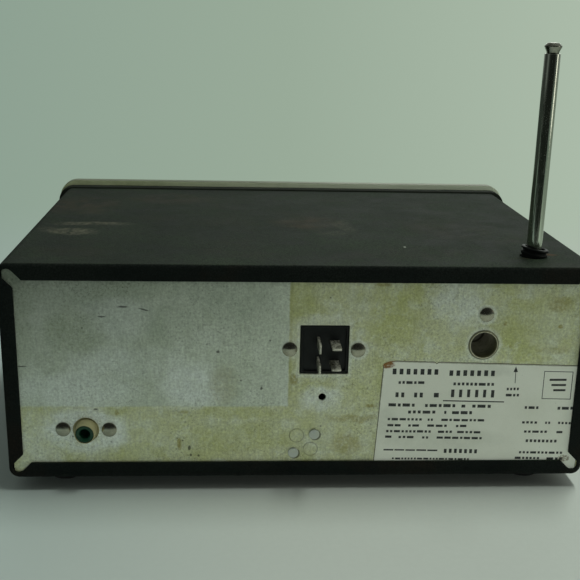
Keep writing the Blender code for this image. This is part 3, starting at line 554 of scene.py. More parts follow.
def metal(name, colour, rough, pits, brushed=None, tint=None, metallic=1.0, relief=0.012,
          dirt=(0.12, 0.10, 0.06), grime=0.25, painted_top_reflection=None):
    """Plated or bare metal with fine scratches, pits and some grime.

    brushed stretches the scratches along an axis; faces that look up take the given top colour, a
    painted dark reflection."""
    mat = Look(name)
    wear = mat.noise(scale=0.32, detail=5, rough=0.65)
    fine = mat.noise(scale=3.2, detail=4, rough=0.7)
    tint = tint or tuple(channel * 0.82 for channel in colour)
    base = mat.over(colour, tint, mat.span(wear, 0.35, 0.7))
    pit = mat.specks(scale=1.3, fade=(0.05, 0.19), zone=(0.5, 3), within=(0.46, 0.60))
    base = mat.over(base, dirt, pit, pits)
    soil = mat.times(mat.cloud(0.50, 0.75, scale=0.11, detail=5, rough=0.65), grime)
    base = mat.over(base, dirt, soil)
    # painted reflection: faces that look up turn to the darker top colour
    if painted_top_reflection is not None:
        base = mat.over(base, painted_top_reflection, mat.span(mat.facing()[2], 0.04, 0.11), 0.85)
    if brushed is not None:
        lines = mat.noise(scale=1, detail=3, rough=0.6, vector=mat.stretch(*brushed))
        spread = mat.times(mat.less(lines, 0.5), 0.36)
        height = mat.add(mat.times(lines, 1.0), mat.times(fine, 0.3))
    else:
        spread = mat.times(mat.less(fine, 0.5), 0.18)
        height = fine
    dulling = mat.add(mat.times(soil, 0.35), mat.times(pit, 0.3))
    return mat.set(
        Base_Color=base,
        Metallic=mat.less(metallic, mat.times(soil, 0.5), clamp=True),
        Roughness=mat.add(mat.add(rough, spread), dulling, clamp=True),
        Normal=mat.bump(height, depth=relief, strength=0.6),
    )


def plastic(name, colour, rough, tint=None, dust=0.15, relief=0.02, spark=2.4, coat=0.0,
            level=0.5):
    """Moulded plastic with an eggshell texture of scale spark, handling wear and dust."""
    mat = Look(name)
    shell = mat.noise(scale=spark, detail=3, rough=0.6)
    wear = mat.noise(scale=0.12, detail=5, rough=0.62)
    tint = tint or tuple(channel * 1.35 for channel in colour)
    base = mat.over(colour, tint, mat.span(wear, 0.32, 0.7))
    film = mat.times(mat.cloud(0.48, 0.75, scale=0.5, detail=5, rough=0.7), dust)
    base = mat.over(base, tuple(min(1.0, 0.10 + channel * 0.8) for channel in colour), film)
    specks = mat.specks(scale=0.5, fade=(0.03, 0.08), zone=(0.2, 2), within=(0.5, 0.6))
    speck_colour = tuple(min(1.0, 0.18 + channel * 0.6) for channel in colour)
    base = mat.over(base, speck_colour, specks, min(1.0, dust * 2.5))
    worn = mat.span(wear, 0.3, 0.7, rough - 0.06, rough + 0.08)
    return mat.set(
        Base_Color=base, Roughness=mat.add(worn, mat.times(film, 0.5)), Coat_Weight=coat,
        Coat_Roughness=0.12, Specular_IOR_Level=level,
        Normal=mat.bump(shell, depth=relief, strength=0.5),
    )


def label_paper():
    """Aged white label with a brown torn corner and dirty margins."""
    mat = Look("label_sheet")
    x, _, z = mat.warp(scale=0.08, reach=5)
    wide = (x, z)
    x, _, z = mat.warp(scale=0.7, reach=0.7)
    near = (x, z)
    cloud = mat.noise(scale=0.04, detail=5, rough=0.6)
    base = mat.ramp(
        cloud, (0.3, (0.745, 0.768, 0.672)), (0.55, (0.805, 0.830, 0.738)),
        (0.75, (0.850, 0.878, 0.795)),
    )
    grey = mat.patches([
        wide, (-58, 22, 26, 4, 0.32), (-66, 10.5, 12, 3, 0.55), (-36, 30, 4, 6, 0.35),
        (-78, 53, 10, 2.6, 0.30), (-46, 24, 9, 3, 0.30),
    ])
    broken = mat.cloud(0.25, 0.65, low=0.4, scale=0.3, detail=4, rough=0.6)
    base = mat.over(base, (0.50, 0.535, 0.455), grey, broken)
    # the sloping top edge and the sloping +X edge
    top = mat.add(z, mat.times(mat.add(x, 35.0), -0.0245))
    side = mat.add(x, mat.times(mat.less(z, 8.0), 0.057))
    rim = mat.most(mat.span(top, 56.35, 56.75), mat.span(side, -30.9, -30.55))
    base = mat.over(base, (0.16, 0.15, 0.10), rim, 0.55)
    torn = mat.spot(near, -34.2, 55.4, 3.3, 1.5, soft=0.35)
    broken = mat.cloud(0.30, 0.5, low=0.5, scale=0.9, detail=4)
    base = mat.over(base, (0.250, 0.125, 0.040), torn, broken)
    scrap = mat.spot(near, -112.6, 13.2, 2.6, 1.5, soft=0.5)
    broken = mat.cloud(0.34, 0.55, scale=0.9, detail=4)
    base = mat.over(base, (0.150, 0.110, 0.055), scrap, broken, 0.8)
    grain = mat.noise(scale=2.8, detail=4, rough=0.7)
    dots = mat.specks(scale=0.30, fade=(0.03, 0.075), zone=(0.08, 2), within=(0.52, 0.6))
    tone = mat.less(mat.add(0.92, mat.times(grain, 0.16)), mat.times(dots, 0.35))
    height = mat.add(mat.noise(scale=0.16, detail=3), mat.times(grain, 0.25))
    return mat.set(
        Base_Color=mat.shade(base, tone), Roughness=mat.span(cloud, 0.3, 0.7, 0.40, 0.55),
        Normal=mat.bump(height, depth=0.05, strength=0.35),
    )


def ink():
    mat = Look("print_ink")
    worn = mat.noise(scale=1.3, detail=4, rough=0.7)
    faded = mat.span(worn, 0.44, 0.70, high=0.75)
    return mat.set(
        Base_Color=mat.over((0.015, 0.018, 0.018), (0.12, 0.125, 0.115), faded),
        Roughness=mat.span(worn, 0.3, 0.7, 0.4, 0.6),
        Normal=mat.bump(worn, depth=0.01, strength=0.4),
    )


def aged_trim():
    """Satin metal at the front, under yellowed lacquer round the sides and back, with painted
    light towards -X and painted shade on faces that look up.
    """
    mat = Look("aged_trim")
    brushed = mat.noise(scale=1, detail=4, rough=0.65, vector=mat.stretch(0.05, 1.8, 1.8))
    wear = mat.noise(scale=0.12, detail=5, rough=0.65)
    pit = mat.specks(scale=1.1, fade=(0.05, 0.17), zone=(0.4, 3), within=(0.50, 0.62))
    silver = mat.over((0.62, 0.61, 0.56), (0.50, 0.49, 0.44), mat.span(wear, 0.35, 0.7))
    olive = mat.over((0.56, 0.61, 0.38), (0.42, 0.465, 0.27), mat.span(wear, 0.35, 0.7))
    # painted light: the olive turns paler towards -X
    painted_light_ramp = mat.span(mat.x, 90, -50, high=0.85, smooth=False)
    olive = mat.over(olive, (0.80, 0.86, 0.70), painted_light_ramp)
    facing = mat.facing()
    front = mat.span(facing[1], -0.25, -0.75)
    # painted shade: faces that look up are darker
    olive = mat.over(olive, (0.150, 0.165, 0.105), mat.span(facing[2], 0.20, 0.75))
    base = mat.over(olive, silver, front)
    streaks = mat.times(mat.less(brushed, 0.5), 0.55)
    tone = mat.add(mat.less(0.98, mat.times(pit, 0.5)), streaks)
    height = mat.add(brushed, mat.times(wear, 0.5))
    return mat.set(
        Base_Color=mat.shade(base, tone), Metallic=mat.add(0.10, mat.times(front, 0.80)),
        Roughness=mat.add(0.30, mat.times(brushed, 0.22)),
        Normal=mat.bump(height, depth=0.015, strength=0.5),
    )


def tarnished_blade():
    """Contact blade with dark tarnish, pale stripes that are partly wear and partly painted
    highlights, and a painted highlight on the tip.
    """
    mat = Look("tarnished_blade")
    stripe = mat.noise(scale=1, detail=5, rough=0.75, vector=mat.stretch(1.35, 0.32, 1.35))
    spots = mat.noise(scale=1.15, detail=5, rough=0.75)
    # pale stripes: partly wear, partly painted highlights
    worn = mat.span(mat.add(mat.times(stripe, 0.6), mat.times(spots, 0.4)), 0.42, 0.58)
    base = mat.over((0.085, 0.082, 0.062), (0.56, 0.55, 0.47), worn)
    # painted highlight on the blade tips
    base = mat.over(base, (0.72, 0.71, 0.62), mat.span(mat.y, 105.6, 107.0), 0.75)
    return mat.set(
        Base_Color=base, Metallic=0.45,
        Roughness=mat.add(0.28, mat.times(mat.less(1.0, worn), 0.3)),
        Normal=mat.bump(mat.add(stripe, mat.times(spots, 0.6)), depth=0.05, strength=0.6),
    )


def jack_bore():
    """Dull socket bore: pale oxide inside, brown grime towards the mouth and painted shade on the
    deep end.
    """
    mat = Look("jack_bore")
    wear = mat.noise(scale=0.5, detail=5, rough=0.7)
    fine = mat.noise(scale=2.6, detail=4, rough=0.7)
    base = mat.over((0.66, 0.64, 0.55), (0.19, 0.185, 0.105), mat.span(mat.y, 86, 96))
    # painted shade on the deep end of the bore
    base = mat.over(base, (0.15, 0.145, 0.115), mat.span(mat.y, 77.5, 75.8))
    base = mat.over(base, (0.13, 0.115, 0.06), mat.span(wear, 0.45, 0.72, high=0.55))
    return mat.set(
        Base_Color=base, Metallic=0.10, Roughness=mat.span(fine, 0.3, 0.7, 0.42, 0.62),
        Normal=mat.bump(mat.add(fine, mat.times(wear, 0.6)), depth=0.03, strength=0.5),
    )


def chrome():
    """Polished tube with length-wise rub marks and peppered corrosion."""
    mat = Look("chrome_tube")
    rubs = mat.noise(scale=1, detail=3, rough=0.6, vector=mat.stretch(2.2, 2.2, 0.05))
    wear = mat.noise(scale=0.16, detail=5, rough=0.7)
    pit = mat.specks(scale=1.5, fade=(0.06, 0.22), zone=(0.24, 4, 0.6), within=(0.50, 0.62))
    smear = mat.cloud(
        0.48, 0.72, scale=1, detail=4, rough=0.6, vector=mat.stretch(0.5, 0.5, 0.10)
    )
    base = mat.over((0.70, 0.73, 0.645), (0.49, 0.50, 0.41), smear, 0.5)
    base = mat.over(base, (0.06, 0.055, 0.04), pit, 0.65)
    rough = mat.add(mat.times(smear, 0.14), mat.times(pit, 0.4))
    rough = mat.add(mat.times(mat.span(rubs, 0.45, 0.7), 0.10), rough)
    height = mat.add(mat.times(rubs, 0.5), mat.times(wear, 0.6))
    return mat.set(
        Base_Color=base, Metallic=1.0, Roughness=mat.add(0.10, rough),
        Normal=mat.bump(height, depth=0.010, strength=0.5),
    )


def lens_red():
    """Glossy red lens with fine upright ribs."""
    mat = Look("lens_red")
    ribs = mat.math("SINE", mat.times(mat.x, 7.5))
    cloud = mat.noise(scale=0.3, detail=4)
    deeper = mat.span(cloud, 0.3, 0.7)
    height = mat.add(mat.times(ribs, 0.5), mat.times(mat.noise(scale=2), 0.1))
    return mat.set(
        Base_Color=mat.over((0.155, 0.006, 0.006), (0.090, 0.004, 0.005), deeper),
        Roughness=mat.span(cloud, 0.3, 0.7, 0.10, 0.20), Coat_Weight=0.6, Coat_Roughness=0.06,
        Normal=mat.bump(height, depth=0.05, strength=0.5),
    )


def window_mask():
    mat = Look("window_mask")
    cloud = mat.noise(scale=0.25, detail=5, rough=0.65)
    lighter = mat.span(cloud, 0.35, 0.7)
    return mat.set(
        Base_Color=mat.over((0.022, 0.004, 0.004), (0.035, 0.007, 0.006), lighter),
        Roughness=mat.span(cloud, 0.3, 0.7, 0.16, 0.3), Coat_Weight=0.4, Coat_Roughness=0.08,
        Normal=mat.bump(mat.noise(scale=1.5, detail=3), depth=0.015, strength=0.4),
    )


def cloth():
    """Black speaker cloth: over-and-under weave."""
    mat = Look("speaker_cloth")
    waves = [mat.math("SINE", mat.times(axis, 9.0)) for axis in (mat.x, mat.z)]
    weave = mat.times(*waves)
    threads = mat.span(weave, -1, 1, smooth=False)
    lint = mat.times(mat.cloud(0.55, 0.75, scale=0.9, detail=5, rough=0.7), 0.35)
    base = mat.over((0.004, 0.004, 0.0045), (0.018, 0.017, 0.017), threads)
    return mat.set(
        Base_Color=mat.over(base, (0.05, 0.048, 0.044), lint),
        Roughness=mat.span(weave, -1, 1, 0.85, 0.7), Sheen_Weight=0.2,
        Normal=mat.bump(threads, depth=0.12, strength=0.8),
    )


def card():
    mat = Look("speaker_card")
    fibre = mat.noise(scale=1.4, detail=6, rough=0.75)
    lighter = mat.span(fibre, 0.35, 0.7)
    return mat.set(
        Base_Color=mat.over((0.018, 0.018, 0.017), (0.05, 0.047, 0.043), lighter),
        Roughness=mat.span(fibre, 0.3, 0.7, 0.85, 0.95),
        Normal=mat.bump(fibre, depth=0.08, strength=0.7),
    )


def spun(name, x, z):
    """Turned metal disc: the rings run round (x, z)."""
    mat = Look(name)
    colour = (0.68, 0.68, 0.66)
    along = mat.node("CombineXYZ", {0: mat.radius(x, z), 1: 0.0, 2: 0.0}).outputs[0]
    rings = mat.noise(scale=6.5, detail=4, rough=0.7, vector=along)
    wear = mat.noise(scale=0.4, detail=5, rough=0.65)
    darker = tuple(channel * 0.8 for channel in colour)
    return mat.set(
        Base_Color=mat.over(colour, darker, mat.span(rings, 0.3, 0.7)), Metallic=1.0,
        Roughness=mat.add(mat.span(rings, 0.3, 0.7, 0.22, 0.36), mat.times(wear, 0.06)),
        Normal=mat.bump(rings, depth=0.02, strength=0.6),
    )


FINISHES = {
    "black_vinyl": vinyl(),
    "rear_aluminium": stained_panel(),
    "label_paper": label_paper(),
    "ink": ink(),
    # domed rivet heads: their darker tops are a painted reflection
    "rivet_steel": metal(
        "rivet_nickel", colour=(0.47, 0.455, 0.365), rough=0.22, pits=0.6,
        tint=(0.36, 0.345, 0.265), metallic=0.92, grime=0.3, dirt=(0.10, 0.085, 0.05),
        painted_top_reflection=(0.20, 0.195, 0.16)),
    "chassis_rivet": metal(
        "rivet_painted", colour=(0.56, 0.60, 0.52), rough=0.45, pits=0.25, metallic=0.25,
        tint=(0.55, 0.59, 0.56), grime=0.15),
    "plated_steel": metal(
        "plated_steel", colour=(0.60, 0.59, 0.52), rough=0.34, pits=0.55,
        brushed=(0.9, 0.35, 1.6), tint=(0.42, 0.41, 0.36), metallic=0.8, grime=0.4),
    "blade_brass": tarnished_blade(),
    "jack_bore": jack_bore(),
    "jack_nickel": metal(
        "jack_nickel", colour=(0.66, 0.65, 0.52), rough=0.40, pits=0.4,
        tint=(0.50, 0.48, 0.34), metallic=0.25, dirt=(0.07, 0.055, 0.025), grime=0.45),
    "tinned_shell": metal(
        "tinned_brass", colour=(0.60, 0.56, 0.33), rough=0.42, pits=0.3, metallic=0.45,
        tint=(0.50, 0.46, 0.25), dirt=(0.10, 0.08, 0.03)),
    "aluminium": metal(
        "brushed_aluminium", colour=(0.70, 0.70, 0.68), rough=0.34, pits=0.12,
        brushed=(0.035, 2.6, 2.6), tint=(0.62, 0.62, 0.60), grime=0.12, relief=0.010),
    "satin_trim": aged_trim(),
    "bezel_plastic": plastic(
        "bezel_moulding", colour=(0.018, 0.021, 0.017), rough=0.62, dust=0.03, level=0.08),
    "black_plastic": plastic(
        "black_moulding", colour=(0.0085, 0.009, 0.0095), rough=0.42, dust=0.06, level=0.3),
    "socket_phenolic": plastic(
        "socket_phenolic", colour=(0.0075, 0.0085, 0.0085), rough=0.52, dust=0.05,
        level=0.35),
    "button_ivory": plastic(
        "button_ivory", colour=(0.66, 0.62, 0.50), rough=0.30, tint=(0.58, 0.53, 0.40),
        dust=0.10, coat=0.15),
    "green_insulator": plastic(
        "green_insulator", colour=(0.004, 0.050, 0.022), rough=0.38,
        tint=(0.002, 0.024, 0.012), dust=0.03),
    "nylon": plastic("nylon_block", colour=(0.55, 0.52, 0.44), rough=0.45),
    "foot_rubber": plastic(
        "foot_rubber", colour=(0.012, 0.012, 0.012), rough=0.72, dust=0.3, relief=0.05),
    "circuit_board": plastic(
        "phenolic_board", colour=(0.235, 0.145, 0.05), rough=0.48, tint=(0.17, 0.10, 0.035)),
    "core_iron": metal(
        "lacquered_iron", colour=(0.10, 0.10, 0.10), rough=0.42, pits=0.4,
        brushed=(0.2, 3.0, 0.2), metallic=0.7),
    "winding_tape": plastic(
        "winding_tape", colour=(0.46, 0.34, 0.08), rough=0.5, tint=(0.38, 0.27, 0.06),
        relief=0.06, spark=1.2),
    "rubber_grommet": plastic(
        "rubber_grommet", colour=(0.0055, 0.006, 0.006), rough=0.46, dust=0.03, relief=0.03,
        level=0.20),
    "chrome": chrome(),
    "tip_chrome": metal(
        "tip_plate", colour=(0.34, 0.335, 0.29), rough=0.16, pits=0.5,
        tint=(0.22, 0.215, 0.18), grime=0.3, relief=0.02),
    "red_window": lens_red(),
    "window_mask": window_mask(),
    "speaker_cloth": cloth(),
    "speaker_card": card(),
    "white_line": plastic(
        "white_filling", colour=(0.72, 0.71, 0.66), rough=0.5, tint=(0.6, 0.59, 0.53),
        dust=0.08),
    "label_edge": plastic(
        "label_adhesive", colour=(0.055, 0.050, 0.030), rough=0.7, tint=(0.09, 0.08, 0.045),
        dust=0.2),
    "torn_layer": plastic(
        "torn_backing", colour=(0.30, 0.150, 0.045), rough=0.8, tint=(0.20, 0.10, 0.035),
        dust=0.1, relief=0.06),
}


# ============================================================= geometry helpers
def link_object(name, data):
    made = bpy.data.objects.new(name, data)
    bpy.context.scene.collection.objects.link(made)
    return made


def mesh_object(name, shape, finish, sharp=38):
    """A bmesh in millimetres as an object in metres; edges over sharp degrees stay hard."""
    bmesh.ops.remove_doubles(shape, verts=shape.verts, dist=2e-4)
    bmesh.ops.recalc_face_normals(shape, faces=shape.faces)
    for face in shape.faces:
        face.smooth = True
    for edge in shape.edges:
        if len(edge.link_faces) == 2 and edge.calc_face_angle(0) > math.radians(sharp):
            edge.smooth = False
    bmesh.ops.transform(shape, matrix=Matrix.Scale(MM, 4), verts=shape.verts)
    mesh = bpy.data.meshes.new(name)
    shape.to_mesh(mesh)
    shape.free()
    mesh.materials.append(FINISHES[finish])
    return link_object(name, mesh)


def place(made, body=CABINET, node=None, slot=None):
    """Rides the object on its body, in place of a CAD node; slot is not used."""
    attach(made, body)
    if node:
        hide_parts(node)


def make(name, shape, finish, sharp=38, **placing):
    place(mesh_object(name, shape, finish, sharp), **placing)


def weighted(made):
    modifier = made.modifiers.new("weighted", "WEIGHTED_NORMAL")
    modifier.mode, modifier.weight, modifier.keep_sharp = "FACE_AREA", 80, True


def rounded(x, z, width, height, radius, steps):
    """Outline of a rectangle with round corners, centred on (x, z)."""
    points = []
    for k, (side, level) in enumerate(((1, 1), (-1, 1), (-1, -1), (1, -1))):
        for i in range(steps + 1):
            angle = math.pi / 2 * (k + i / steps)
            points.append((
                x + side * (width / 2 - radius) + radius * math.cos(angle),
                z + level * (height / 2 - radius) + radius * math.sin(angle),
            ))
    return points


def disc(x, z, radius, sides):
    angles = [2 * math.pi * i / sides for i in range(sides)]
    return [(x + radius * math.cos(angle), z + radius * math.sin(angle)) for angle in angles]


def turned(loop, anticlockwise):
    """The loop in the asked direction."""
    area = sum(a[0] * b[1] - b[0] * a[1] for a, b in zip(loop, loop[1:] + loop[:1]))
    return list(loop) if (area > 0) == anticlockwise else list(loop)[::-1]


def inset(loop, distance):
    """Every point moves to the left of the way round, with mitred corners."""
    out = []
    for i, point in enumerate(loop):
        point = Vector(point)
        before = point - Vector(loop[i - 1])
        after = Vector(loop[(i + 1) % len(loop)]) - point
        if before.length < 1e-9 or after.length < 1e-9:
            out.append(tuple(point))
            continue
        before.normalize()
        after.normalize()
        left, next_left = Vector((-before.y, before.x)), Vector((-after.y, after.x))
        reach = distance / max(0.35, 1 + left.dot(next_left))
        out.append(tuple(point + (left + next_left) * reach))
    return out


def edge_rows(depth, edges, steps):
    """(y, inset) between the two y values of depth, with edges rounded to the two radii."""
    (y_low, y_high), (low_edge, high_edge) = depth, edges
    rows = [(y_low, 0.0)]
    if low_edge > 0:
        angles = [math.pi / 2 * k / steps for k in range(steps + 1)]
        rows = [
            (y_low + low_edge * (1 - math.cos(a)), low_edge * (1 - math.sin(a))) for a in angles
        ]
    if high_edge > 0:
        for k in range(steps, -1, -1):
            angle = math.pi / 2 * k / steps
            y = y_high - high_edge * (1 - math.cos(angle))
            rows.append((y, high_edge * (1 - math.sin(angle))))
    else:
        rows.append((y_high, 0.0))
    return rows


def bridge(shape, low, high):
    """Quads between two rings of as many vertices."""
    for i in range(len(low)):
        j = (i + 1) % len(low)
        shape.faces.new((low[i], low[j], high[j], high[i]))


def plate_mesh(outer, holes, depth, edges=(0.0, 0.0), steps=3, hole_edge=None, into=None):
    """A flat sheet on the XZ plane with holes; hole_edge rounds the holes at the high y."""
    shape = bmesh.new() if into is None else into
    rows = edge_rows(depth, edges, steps)
    hole_rows = rows
    if hole_edge is not None:
        hole_rows = edge_rows(depth, (edges[0], hole_edge), steps)
    caps = ([], [])
    loops = [turned(outer, True)] + [turned(hole, False) for hole in holes]
    for k, loop in enumerate(loops):
        rings = [
            [shape.verts.new((x, y, z)) for x, z in inset(loop, distance)]
            for y, distance in (hole_rows if k else rows)
        ]
        for low, high in zip(rings, rings[1:]):
            bridge(shape, low, high)
        for cap, ring in zip(caps, (rings[0], rings[-1])):
            cap.extend(shape.edges.get((ring[i - 1], ring[i])) for i in range(len(ring)))
    for cap in caps:
        if holes:
            bmesh.ops.triangle_fill(shape, use_beauty=True, edges=cap)
        else:
            bmesh.ops.contextual_create(shape, geom=cap)
    return shape


def plate(name, outer, holes, depth, edges, finish, steps, sharp=30, hole_edge=None, **placing):
    shape = plate_mesh(outer, holes, depth, edges, steps, hole_edge)
    made = mesh_object(name, shape, finish, sharp)
    weighted(made)
    place(made, **placing)


THIN = {"steps": 2, "sharp": 50}  # edge steps and hard-edge angle of thin sheets
LEAST_TURN = 20  # degrees; flatter corners of a turned profile are left alone


def soften(profile, radius, closed):
    """Replaces each corner of a turned profile with a short arc of about the radius."""
    out, count = [], len(profile)
    for i in range(count):
        corner = Vector(profile[i])
        if not closed and i in (0, count - 1) or corner.x < 1e-6:
            out.append(tuple(corner))
            continue
        back = Vector(profile[i - 1]) - corner
        ahead = Vector(profile[(i + 1) % count]) - corner
        if (back.length < 1e-6 or ahead.length < 1e-6
                or math.degrees(back.angle(ahead)) > 180 - LEAST_TURN):
            out.append(tuple(corner))
            continue
        cut = min(radius, back.length * 0.45, ahead.length * 0.45)
        start, end = corner + back.normalized() * cut, corner + ahead.normalized() * cut
        for k in range(4):
            t = k / 3
            out.append(tuple(start * (1 - t) ** 2 + corner * (2 * t * (1 - t)) + end * t * t))
    return out


def lathe_mesh(profile, sides, centre, axis="Y", closed=False, ripple=None, tilt=None):
    """A profile of (radius, height) turned round the axis, heights growing along +axis.

    ripple scales the radius by angle and radius."""
    shape = bmesh.new()
    rings = []
    for radius, height in profile:
        if radius < 1e-6:
            rings.append([shape.verts.new((0, 0, height))])
            continue
        ring = []
        for i in range(sides):
            angle = 2 * math.pi * i / sides
            reach = radius * (ripple(angle, radius) if ripple else 1.0)
            point = (reach * math.cos(angle), reach * math.sin(angle), height)
            ring.append(shape.verts.new(point))
        rings.append(ring)
    pairs = list(zip(rings, rings[1:])) + ([(rings[-1], rings[0])] if closed else [])
    for low, high in pairs:
        if len(low) == 1 and len(high) == 1:
            continue
        if len(low) > 1 and len(high) > 1:
            bridge(shape, low, high)
            continue
        for i in range(sides):
            j = (i + 1) % sides
            if len(low) == 1:
                shape.faces.new((low[0], high[j], high[i]))
            else:
                shape.faces.new((low[i], low[j], high[0]))
    turn = Matrix.Rotation(-math.pi / 2, 4, "X") if axis == "Y" else Matrix.Identity(4)
    matrix = Matrix.Translation(centre) @ (tilt or Matrix.Identity(4)) @ turn
    bmesh.ops.transform(shape, matrix=matrix, verts=shape.verts)
    return shape


def lathe(name, profile, sides, centre, finish, axis="Y", closed=False, ripple=None, tilt=None,
          corner=0.12, **making):
    """corner is the radius its corners are softened to."""
    if corner:
        profile = soften(profile, corner, closed)
    shape = lathe_mesh(profile, sides, centre, axis, closed, ripple, tilt)
    make(name, shape, finish, **making)


def block(shape, corners, y_low, y_high):
    """A prism on the XZ outline given."""
    low = [shape.verts.new((x, y_low, z)) for x, z in corners]
    high = [shape.verts.new((x, y_high, z)) for x, z in corners]
    close_prism(shape, low, high)


def close_prism(shape, low, high):
    shape.faces.new(low)
    shape.faces.new(high[::-1])
    for i in range(len(low)):
        j = (i + 1) % len(low)
        shape.faces.new((low[i], high[i], high[j], low[j]))


def bar(shape, x_low, z_low, x_high, z_high, y_low, y_high):
    corners = [(x_low, z_low), (x_high, z_low), (x_high, z_high), (x_low, z_high)]
    block(shape, corners, y_low, y_high)


def loft(name, outline, rows, finish, **making):
    """Closed shape through outline(inset) at each (inset, y) row."""
    shape = bmesh.new()
    rings = [[shape.verts.new((x, y, z)) for x, z in outline(edge)] for edge, y in rows]
    for low, high in zip(rings, rings[1:]):
        bridge(shape, low, high)
    shape.faces.new(rings[0])
    shape.faces.new(rings[-1])
    make(name, shape, finish, **making)


def cut(target, name, shape):
    """Cuts the shape out of the target."""
    cutter = mesh_object(name, shape, "black_vinyl")
    modifier = target.modifiers.new("cut", "BOOLEAN")
    modifier.operation, modifier.solver, modifier.object = "DIFFERENCE", "EXACT", cutter
    bpy.context.view_layer.update()
    evaluated = target.evaluated_get(bpy.context.evaluated_depsgraph_get())
    baked = bpy.data.meshes.new_from_object(evaluated)
    target.modifiers.clear()
    target.data = baked
    bpy.data.objects.remove(cutter, do_unlink=True)


# ======================================================================= sleeve
WALL, LIP = 1.4, 1.0  # thickness of the sleeve and of its rear lip
ANTENNA_HOLE = 5.65  # radius
SLOT_RADIUS = 2.4
SIDE_BOW = 0.75  # how far the +X side bows out at the rear


def slot_outline(side, start_z, tip_z):
    """A corner slot with a round tip, leaning out towards the corner."""
    start, tip = Vector((side * 112.5, start_z)), Vector((side * 118.1, tip_z))
    along = (tip - start).normalized()
    across = Vector((-along.y, along.x))
    end = tip - along * SLOT_RADIUS
    first = math.atan2(-across.y, -across.x)
    angles = [first + math.pi * i / 14 for i in range(15)]
    arc = [
        (end.x + SLOT_RADIUS * math.cos(a), end.y + SLOT_RADIUS * math.sin(a)) for a in angles
    ]
    back = start - along * 5
    return [tuple(back - across * SLOT_RADIUS), *arc, tuple(back + across * SLOT_RADIUS)]


def bow_side(mesh):
    """Bows the +X side out a little towards the rear."""
    for vertex in mesh.vertices:
        if vertex.co.x > 0.108:
            run = min(1.0, max(0.0, (vertex.co.y / MM - 20.0) / 78.0))
            level = (vertex.co.z / MM - BOTTOM_Z) / (TOP_Z - BOTTOM_Z)
            rise = math.sin(math.pi * min(1.0, max(0.0, level))) ** 0.5
            vertex.co.x += SIDE_BOW * MM * run * rise


def sleeve():
    """One wrap of clad sheet, folded in all round at the rear, with slots at the corners."""
    outer = rounded(0, MIDDLE_Z, CASE_WIDTH, CASE_HEIGHT, 4.0, 10)
    skin = plate_mesh(outer, [], (FRONT_Y, REAR_Y), edges=(0.25, 1.35), steps=6)
    body = mesh_object("cabinet_sleeve_skin", skin, "black_vinyl")
    inner = rounded(0, MIDDLE_Z, CASE_WIDTH - 2 * WALL, CASE_HEIGHT - 2 * WALL, 2.6, 10)
    depth = (FRONT_Y - 5, REAR_Y - LIP)
    cut(body, "tool_hollow", plate_mesh(inner, [], depth, edges=(0, 0.5), steps=2))
    window = rounded(0, MIDDLE_Z - 0.1, CASE_WIDTH - 12.5, CASE_HEIGHT - 13.4, 0.25, 2)
    cut(body, "tool_window", plate_mesh(window, [], (REAR_Y - 5, REAR_Y + 5)))
    for side in (-1, 1):
        for start_z, tip_z in ((TOP_Z - 8.45, TOP_Z - 2.9), (BOTTOM_Z + 8.65, BOTTOM_Z + 3.1)):
            outline = slot_outline(side, start_z, tip_z)
            cut(body, "tool_slot", plate_mesh(outline, [], (REAR_Y - 1.75, REAR_Y + 3)))
    profile = ((0, -4), (ANTENNA_HOLE, -4), (ANTENNA_HOLE, 4), (0, 4))
    cut(body, "tool_hole", lathe_mesh(profile, 48, (ANTENNA_X, ANTENNA_Y, TOP_Z), "Z"))
    bow_side(body.data)
    soft = body.modifiers.new("edges", "BEVEL")
    soft.width, soft.segments = 0.16 * MM, 2
    soft.limit_method, soft.angle_limit = "ANGLE", math.radians(55)
    soft.use_clamp_overlap = True
    body.data.shade_smooth()
    body.data.set_sharp_from_angle(angle=math.radians(32))
    weighted(body)
    place(body, node="cabinet_sleeve")


sleeve()


# =================================================================== rear panel
def rear_panel():
    width, height = panel_high.x - panel_low.x, panel_high.z - panel_low.z
    holes = [rounded(*SOCKET, 0.5, 3), disc(*PHONO, 5.35, 56), disc(*JACK, 5.66, 56)]
    holes.append(disc(-8.1, 41.2, 1.55, 32))
    holes += [disc(x, z, 1.8, 24) for _, x, z, *_ in DOMED_RIVETS + FLAT_RIVETS]
    outer = rounded(0, MIDDLE_Z, width, height, 2.2, 4)
    plate("rear_panel_sheet", outer, holes, (PANEL_IN, PANEL_OUT), (0.0, 0.10),
          "rear_aluminium", node="rear_panel", **THIN)


def rivets():
    shank = [(0, -4.4), (1.4, -4.4), (1.4, -0.1)]
    seat_y = PANEL_OUT + 0.15
    half_arc = math.radians(29)  # half the angle the dome spans
    for name, x, z, radius in DOMED_RIVETS:
        profile = shank + [
            (radius * 0.9, -0.1), (radius, 0.02), (radius, 0.26), (radius * 0.992, 0.37)
        ]
        curve = radius * 0.965 / math.sin(half_arc)
        for k in range(13):
            angle = half_arc * (1 - k / 12)
            rise = math.cos(angle) - math.cos(half_arc)
            profile.append((curve * math.sin(angle), 0.45 + curve * rise))
        lathe(f"{name}_head", profile, 48, (x, seat_y, z), "rivet_steel", corner=0, node=name)
    for name, x, z, radius, height in FLAT_RIVETS:
        profile = shank + [
            (radius, -0.1), (radius, height - 0.16), (radius - 0.28, height),
            (1.1, height - 0.02), (0, height - 0.06),
        ]
        lathe(f"{name}_head", profile, 48, (x, seat_y, z), "chassis_rivet", node=name)


def flush_plugs():
    profile = [
        (0, 0.0), (2.85, 0.0), (2.87, 0.05), (2.76, 0.13), (2.5, 0.10), (1.2, 0.115), (0, 0.11)
    ]
    for k, (x, z) in enumerate(PLUGS):
        lathe(f"flush_plug_{k + 1}", profile, 48, (x, PANEL_OUT + 0.01, z), "rear_aluminium",
              corner=0, slot="rear_aluminium")


rear_panel()
rivets()
flush_plugs()

# ======================================================================== label
LABEL_Y = PANEL_OUT + 0.2
LABEL_SLOPE = -0.0245  # of the top edge


